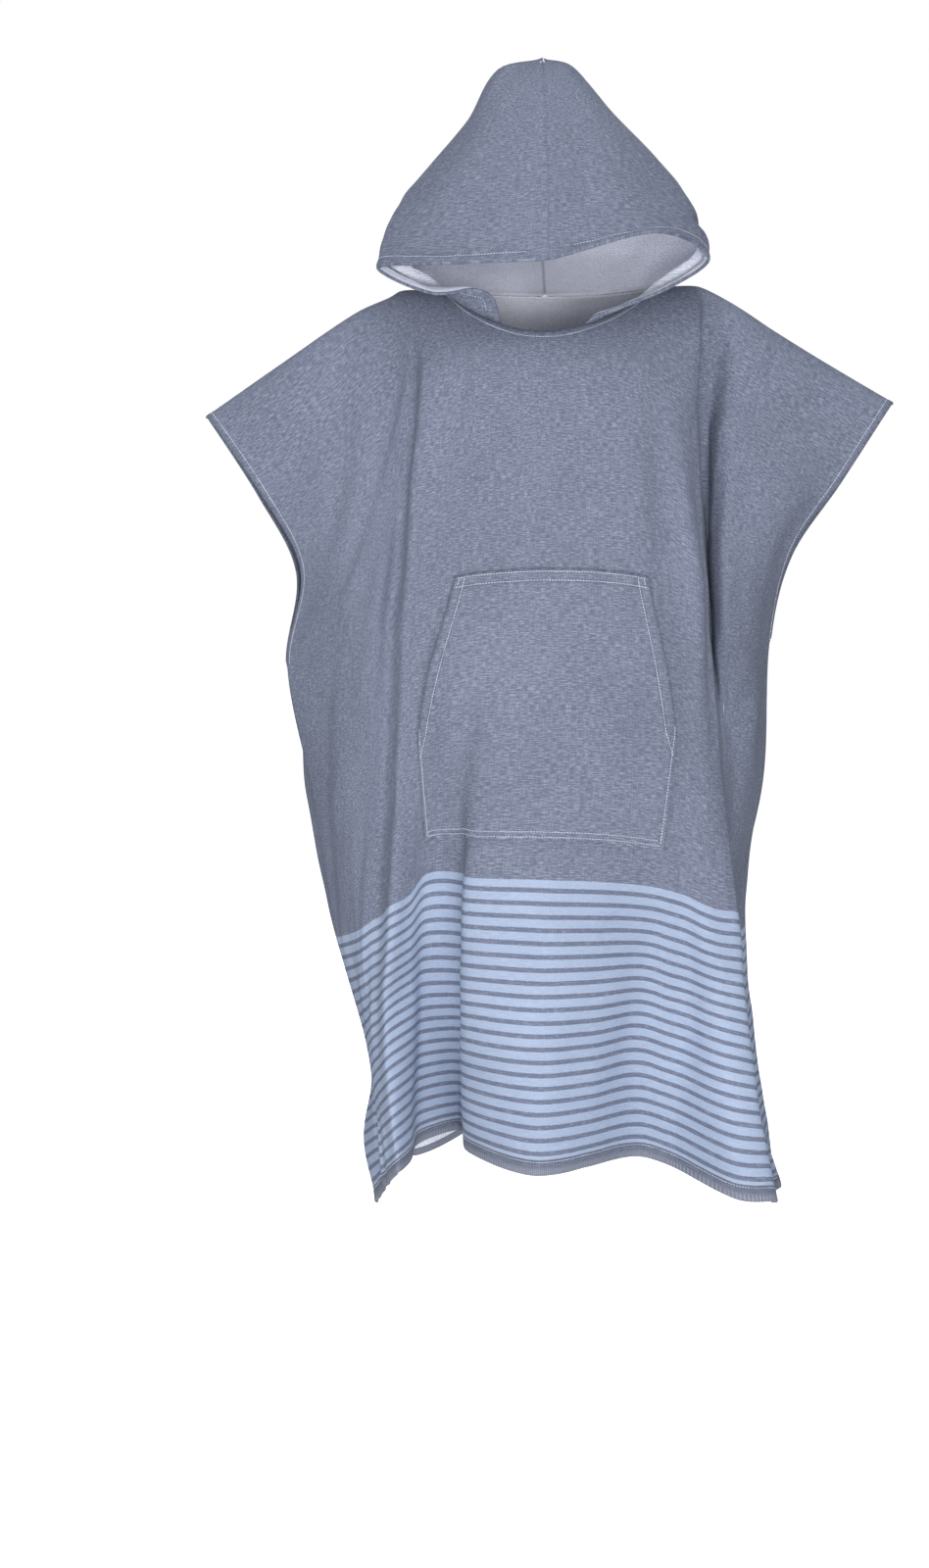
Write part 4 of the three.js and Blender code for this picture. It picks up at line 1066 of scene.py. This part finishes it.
def pocket_points(share, place, lift=0.0):
    down = TOP + (BOTTOM - TOP) * share
    left, right = pocket_side(down, 2), pocket_side(down, 3)
    across = left + (right - left) * place
    stand = pocket_stand(share, place, down)
    normal = FRONT.outward(across, down)
    edge = np.minimum.reduce([across - left, right - across, down - TOP, BOTTOM - down])
    calm = smoothstep(edge, 2, 24)
    rise = crease_height(POCKET_CREASES, across, down) * calm
    rise += 0.7 * uneven(across, down, 1.1) * calm
    sides = np.minimum(across - left, right - across)
    hems = sides + np.where(down > ELBOW, 60, 0)
    hems = np.minimum(hems, down - TOP)
    rise += 0.7 * (1 - smoothstep(hems, POCKET_HEM - 1.5, POCKET_HEM + 1.5))
    foot = BOTTOM - down
    rise -= (0.8 * bump(hems - POCKET_HEM + 2, 1.6) + 0.5 * bump(foot - EDGE_ROW, 1.4)
             + 0.5 * bump(foot - FOOT_ROW, 1.4))
    rise -= np.where(down > ELBOW, 0.6 * bump(sides - EDGE_ROW, 1.4), 0)
    sag = np.minimum(crease_height(POCKET_CREASES, across, down) * calm, 0)
    follow = FRONT.height(across, down) * (1 - smoothstep(edge, 0, 40)) * (stand < 6)
    base = FRONT.base(across, down)
    inner = base + normal * (np.maximum(stand + sag, 0.6) + np.maximum(follow, 0))[:, None]
    outer = base + normal * (stand + np.maximum(follow, 0) + POCKET_CLOTH + rise + lift)[:, None]
    return outer, inner, np.stack([across, down], axis=-1), hems, normal


def pocket_piece():
    rows = np.unique(np.append(np.linspace(0, 1, 74), (ELBOW - TOP) / (BOTTOM - TOP)))
    columns = lines_between([(0, 0.08, 0.008), (0.08, 0.92, 0.0145), (0.92, 1, 0.008)])
    share, place = np.meshgrid(rows, columns, indexing="ij")
    outer, inner, uv, hems, _normal = pocket_points(share.reshape(-1), place.reshape(-1))
    shape = (*share.shape, 3)
    # painted shade at the pocket's hem stitching and its standing edges, with some soiling
    seam_shade_and_soil = 0.5 * bump(hems - POCKET_HEM + 2, 1.4)
    seam_shade_and_soil += 0.5 * bump(hems - 0.5, 1.6)
    slots = np.ones((share.shape[0] - 1, share.shape[1] - 1), int)
    return shell("pocket_cloth", outer.reshape(shape), inner.reshape(shape), uv.reshape(*share.shape, 2),
                 np.clip(seam_shade_and_soil, 0, 1).reshape(share.shape), slots, (CHAMBRAY_PLAIN, TERRY))


pocket_cloth = pocket_piece()


# ---- sewing ----
STITCH_PITCH = 3.4
STITCH_LENGTH = 2.7
THREAD_RADIUS = 0.42
THREAD_SIDES = 5
STITCH_LIFT = 0.1
# Cross sections of one stitch: share along it, rise over the cloth and thickness, both in thread radii.
STITCH_SECTIONS = [(-0.04, -1.2, 0.5), (0.12, 0.15, 0.9), (0.5, 0.55, 1.0), (0.88, 0.15, 0.9),
                   (1.04, -1.2, 0.5)]


def stitch_mesh(name, runs):
    """Raised thread stitches along the runs, each (points, normals), joined in one mesh."""
    points, faces, uvs = [], [], []
    ring = np.arange(THREAD_SIDES) * 2 * math.pi / THREAD_SIDES
    sections = np.array(STITCH_SECTIONS)
    base_index = 0
    for run, normals in runs:
        travelled = np.concatenate([[0], np.cumsum(np.linalg.norm(np.diff(run, axis=0), axis=1))])
        count = int(travelled[-1] / STITCH_PITCH)
        starts = (np.arange(count) + 0.15) * STITCH_PITCH
        at = starts[:, None] + sections[None, :, 0] * STITCH_LENGTH
        spot = points_at(at, travelled, run)
        up = unit(points_at(at, travelled, normals))
        ahead = unit(np.roll(spot, -1, axis=1) - spot)
        ahead[:, -1] = ahead[:, -2]
        side = unit(np.cross(ahead, up))
        centre = spot + up * (sections[None, :, 1, None] * THREAD_RADIUS)
        circle = side[:, :, None] * np.cos(ring)[:, None] + up[:, :, None] * np.sin(ring)[:, None]
        tube = centre[:, :, None] + circle * (sections[None, :, 2, None, None] * THREAD_RADIUS)
        points.append(tube.reshape(-1, 3))
        uvs.append(np.stack(np.broadcast_arrays(at[:, :, None], ring / 6), axis=-1).reshape(-1, 2))
        size = (count, len(sections), THREAD_SIDES)
        ids = base_index + np.arange(math.prod(size)).reshape(size)
        near, far = ids[:, :-1], ids[:, 1:]
        strip = np.stack([near, np.roll(near, -1, axis=2), np.roll(far, -1, axis=2), far], axis=-1)
        faces.append(strip.reshape(-1, 4))
        base_index += ids.size
    return new_mesh(name, np.concatenate(points), np.concatenate(faces), np.concatenate(uvs),
                    materials=(THREAD,))


def straight(start, end, step=4.0):
    count = max(int(math.hypot(end[0] - start[0], end[1] - start[1]) / step), 2)
    share = np.linspace(0, 1, count)
    return start[0] + (end[0] - start[0]) * share, start[1] + (end[1] - start[1]) * share


def panel_line(panel, start, end):
    return panel.at(*straight(start, end), STITCH_LIFT)


body_runs = []
for panel in (FRONT, BACK):
    body_runs.append(panel_line(panel, (-446, HEM_STITCH), (446, HEM_STITCH)))
    for sign in (-1, 1):
        inset = sign * (HALF_WIDTH - SLEEVE_HEM + 2)
        body_runs.append(panel_line(panel, (inset, 6), (inset, ARM_OPENING - 2)))
    neck = np.linspace(-NECK_HALF_WIDTH, NECK_HALF_WIDTH, 120)
    body_runs.append(panel.at(neck, neck_edge(neck, panel.drop) + NECK_STITCH, STITCH_LIFT))
body_stitching = stitch_mesh("body_stitching", body_runs)


def pocket_line(start, end, count=90):
    """A sewing line over the pocket between two (across, down) places."""
    share = np.linspace(0, 1, count)
    across = start[0] + (end[0] - start[0]) * share
    down = start[1] + (end[1] - start[1]) * share
    left, right = pocket_side(down, 2), pocket_side(down, 3)
    places = (down - TOP) / (BOTTOM - TOP), (across - left) / (right - left)
    outer, _inner, _uv, _hems, normal = pocket_points(*places, STITCH_LIFT)
    return outer, normal


POCKET_EDGES = [row[2:] for row in POCKET_OUTLINE]
(TOP_LEFT, TOP_RIGHT), (ELBOW_LEFT, ELBOW_RIGHT), (FOOT_LEFT, FOOT_RIGHT) = POCKET_EDGES
IN = POCKET_HEM - 2
pocket_runs = [
    pocket_line((TOP_LEFT + 2, TOP + 2), (TOP_RIGHT - 2, TOP + 2)),
    pocket_line((TOP_LEFT + 1, TOP + IN), (TOP_RIGHT - 1, TOP + IN)),
    pocket_line((TOP_LEFT + IN, TOP + 3), (ELBOW_LEFT + IN, ELBOW)),
    pocket_line((TOP_RIGHT - IN, TOP + 3), (ELBOW_RIGHT - IN, ELBOW)),
    pocket_line((ELBOW_LEFT + EDGE_ROW, ELBOW), (FOOT_LEFT + EDGE_ROW, BOTTOM - EDGE_ROW)),
    pocket_line((ELBOW_RIGHT - EDGE_ROW, ELBOW), (FOOT_RIGHT - EDGE_ROW, BOTTOM - EDGE_ROW)),
    pocket_line((FOOT_LEFT + EDGE_ROW, BOTTOM - EDGE_ROW), (FOOT_RIGHT - EDGE_ROW, BOTTOM - EDGE_ROW)),
    pocket_line((FOOT_LEFT + EDGE_ROW, BOTTOM - FOOT_ROW), (FOOT_RIGHT - EDGE_ROW, BOTTOM - FOOT_ROW)),
]
BARTACK = 22
for sign, elbow in ((1, ELBOW_LEFT), (-1, ELBOW_RIGHT)):
    pocket_runs.append(pocket_line((elbow + sign * IN, ELBOW - 2), (elbow + sign * 4, ELBOW + BARTACK), 16))
    edge = elbow + sign * EDGE_ROW
    pocket_runs.append(pocket_line((edge, ELBOW - BARTACK * 0.6), (edge, ELBOW + 4), 16))
for sign, corner in ((1, TOP_LEFT), (-1, TOP_RIGHT)):
    pocket_runs.append(pocket_line((corner + sign * 5, TOP + 3), (corner + sign * 3, TOP + IN), 10))
pocket_stitching = stitch_mesh("pocket_stitching", pocket_runs)


def hood_run(grid, inset, low, high):
    """A sewing line at a distance from the hood's front edge, between two height shares."""
    rows = [r for r in range(len(HOOD_ROW_LINES)) if low <= HOOD_ROW_LINES[r] <= high]
    points, normals = (np.array([points_at(inset, grid["from_front"][r], grid[kind][r]) for r in rows])
                       for kind in ("outer", "normal"))
    return points, unit(normals)


hood_stitching = stitch_mesh("hood_stitching", [hood_run(grid, BRIM_HEM - 2, 0.02, BRIM_MIDDLE)
                                                for grid in (left_grid, right_grid)])

# ---- how the pieces stand for the frame ----
ROOT = "root"
for piece, node in ((front_cloth, "front_panel"), (back_cloth, "back_panel"), (hood_left_cloth, "hood_left"),
                    (hood_right_cloth, "hood_right"), (hood_left_tape, "hood_tape_left"),
                    (hood_right_tape, "hood_tape_right"), (pocket_cloth, "kangaroo_pocket")):
    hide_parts(node)
for piece in (front_cloth, back_cloth, hood_left_cloth, hood_right_cloth, hood_left_tape, hood_right_tape,
              pocket_cloth, body_stitching, pocket_stitching, hood_stitching):
    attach(piece, ROOT)

# ---- the room ----
FLOOR_DOWN = -1.365
floor_mesh = bpy.data.meshes.new("floor")
REACH = 14
floor_mesh.from_pydata([(-REACH, -REACH, FLOOR_DOWN), (REACH, -REACH, FLOOR_DOWN), (REACH, REACH, FLOOR_DOWN),
                        (-REACH, REACH, FLOOR_DOWN)], [], [(0, 1, 2, 3)])
floor = bpy.data.objects.new("floor", floor_mesh)
bpy.context.scene.collection.objects.link(floor)
floor_material = bpy.data.materials.new("floor_white")
floor_material.use_nodes = True
floor_shader = floor_material.node_tree.nodes["Principled BSDF"]
floor_shader.inputs["Base Color"].default_value = (0.6, 0.6, 0.6, 1)
floor_shader.inputs["Roughness"].default_value = 1.0
floor_shader.inputs["Specular IOR Level"].default_value = 0.0
floor_shader.inputs["Emission Color"].default_value = (1, 1, 1, 1)
floor_seen = floor_material.node_tree.nodes.new("ShaderNodeLightPath")
floor_material.node_tree.links.new(floor_seen.outputs["Is Camera Ray"],
                                   floor_shader.inputs["Emission Strength"])
floor_mesh.materials.append(floor_material)

scene = bpy.context.scene
scene.view_settings.view_transform = "Standard"
world = bpy.data.worlds.new("studio")
scene.world = world
world.use_nodes = True
tree = world.node_tree
tree.nodes.clear()
seen = tree.nodes.new("ShaderNodeBackground")
seen.inputs["Color"].default_value = (1, 1, 1, 1)
seen.inputs["Strength"].default_value = 1.0
lit = tree.nodes.new("ShaderNodeBackground")
lit.inputs["Color"].default_value = (0.84, 0.91, 1.0, 1)
lit.inputs["Strength"].default_value = 0.24
path = tree.nodes.new("ShaderNodeLightPath")
mixed = tree.nodes.new("ShaderNodeMixShader")
output = tree.nodes.new("ShaderNodeOutputWorld")
tree.links.new(path.outputs["Is Camera Ray"], mixed.inputs[0])
tree.links.new(lit.outputs[0], mixed.inputs[1])
tree.links.new(seen.outputs[0], mixed.inputs[2])
tree.links.new(mixed.outputs[0], output.inputs["Surface"])

# Soft boxes: name, place, aimed at, width, height, watts, colour.
LIGHTS = [
    ("key", (0.45, -3.3, -0.8), (0.0, 0.0, -0.35), 2.2, 1.2, 84, (1.0, 0.975, 0.94)),
    ("fill", (-2.4, -2.0, -0.5), (0.0, 0.0, -0.6), 1.4, 1.8, 34, (1.0, 0.985, 0.96)),
    ("bounce", (0.1, -2.8, -0.8), (0.0, 0.1, 0.05), 1.2, 0.4, 12, (0.93, 0.96, 1.0)),
    ("top", (0.1, -0.8, 2.2), (0.0, 0.0, -0.2), 1.6, 1.6, 34, (1.0, 1.0, 1.0)),
    ("rear", (0.2, 2.8, 0.9), (0.0, 0.0, -0.5), 2.0, 2.0, 60, (1.0, 1.0, 1.0)),
]
for name, place, aim, width, height, watts, colour in LIGHTS:
    data = bpy.data.lights.new(name, "AREA")
    data.shape = "RECTANGLE"
    data.size, data.size_y = width, height
    data.energy = watts
    data.color = colour
    lamp = bpy.data.objects.new(name, data)
    lamp.location = place
    direction = np.array(aim) - np.array(place)
    level = math.hypot(direction[0], direction[1])
    lamp.rotation_euler = (math.atan2(level, -direction[2]), 0, math.atan2(-direction[0], direction[1]))
    scene.collection.objects.link(lamp)
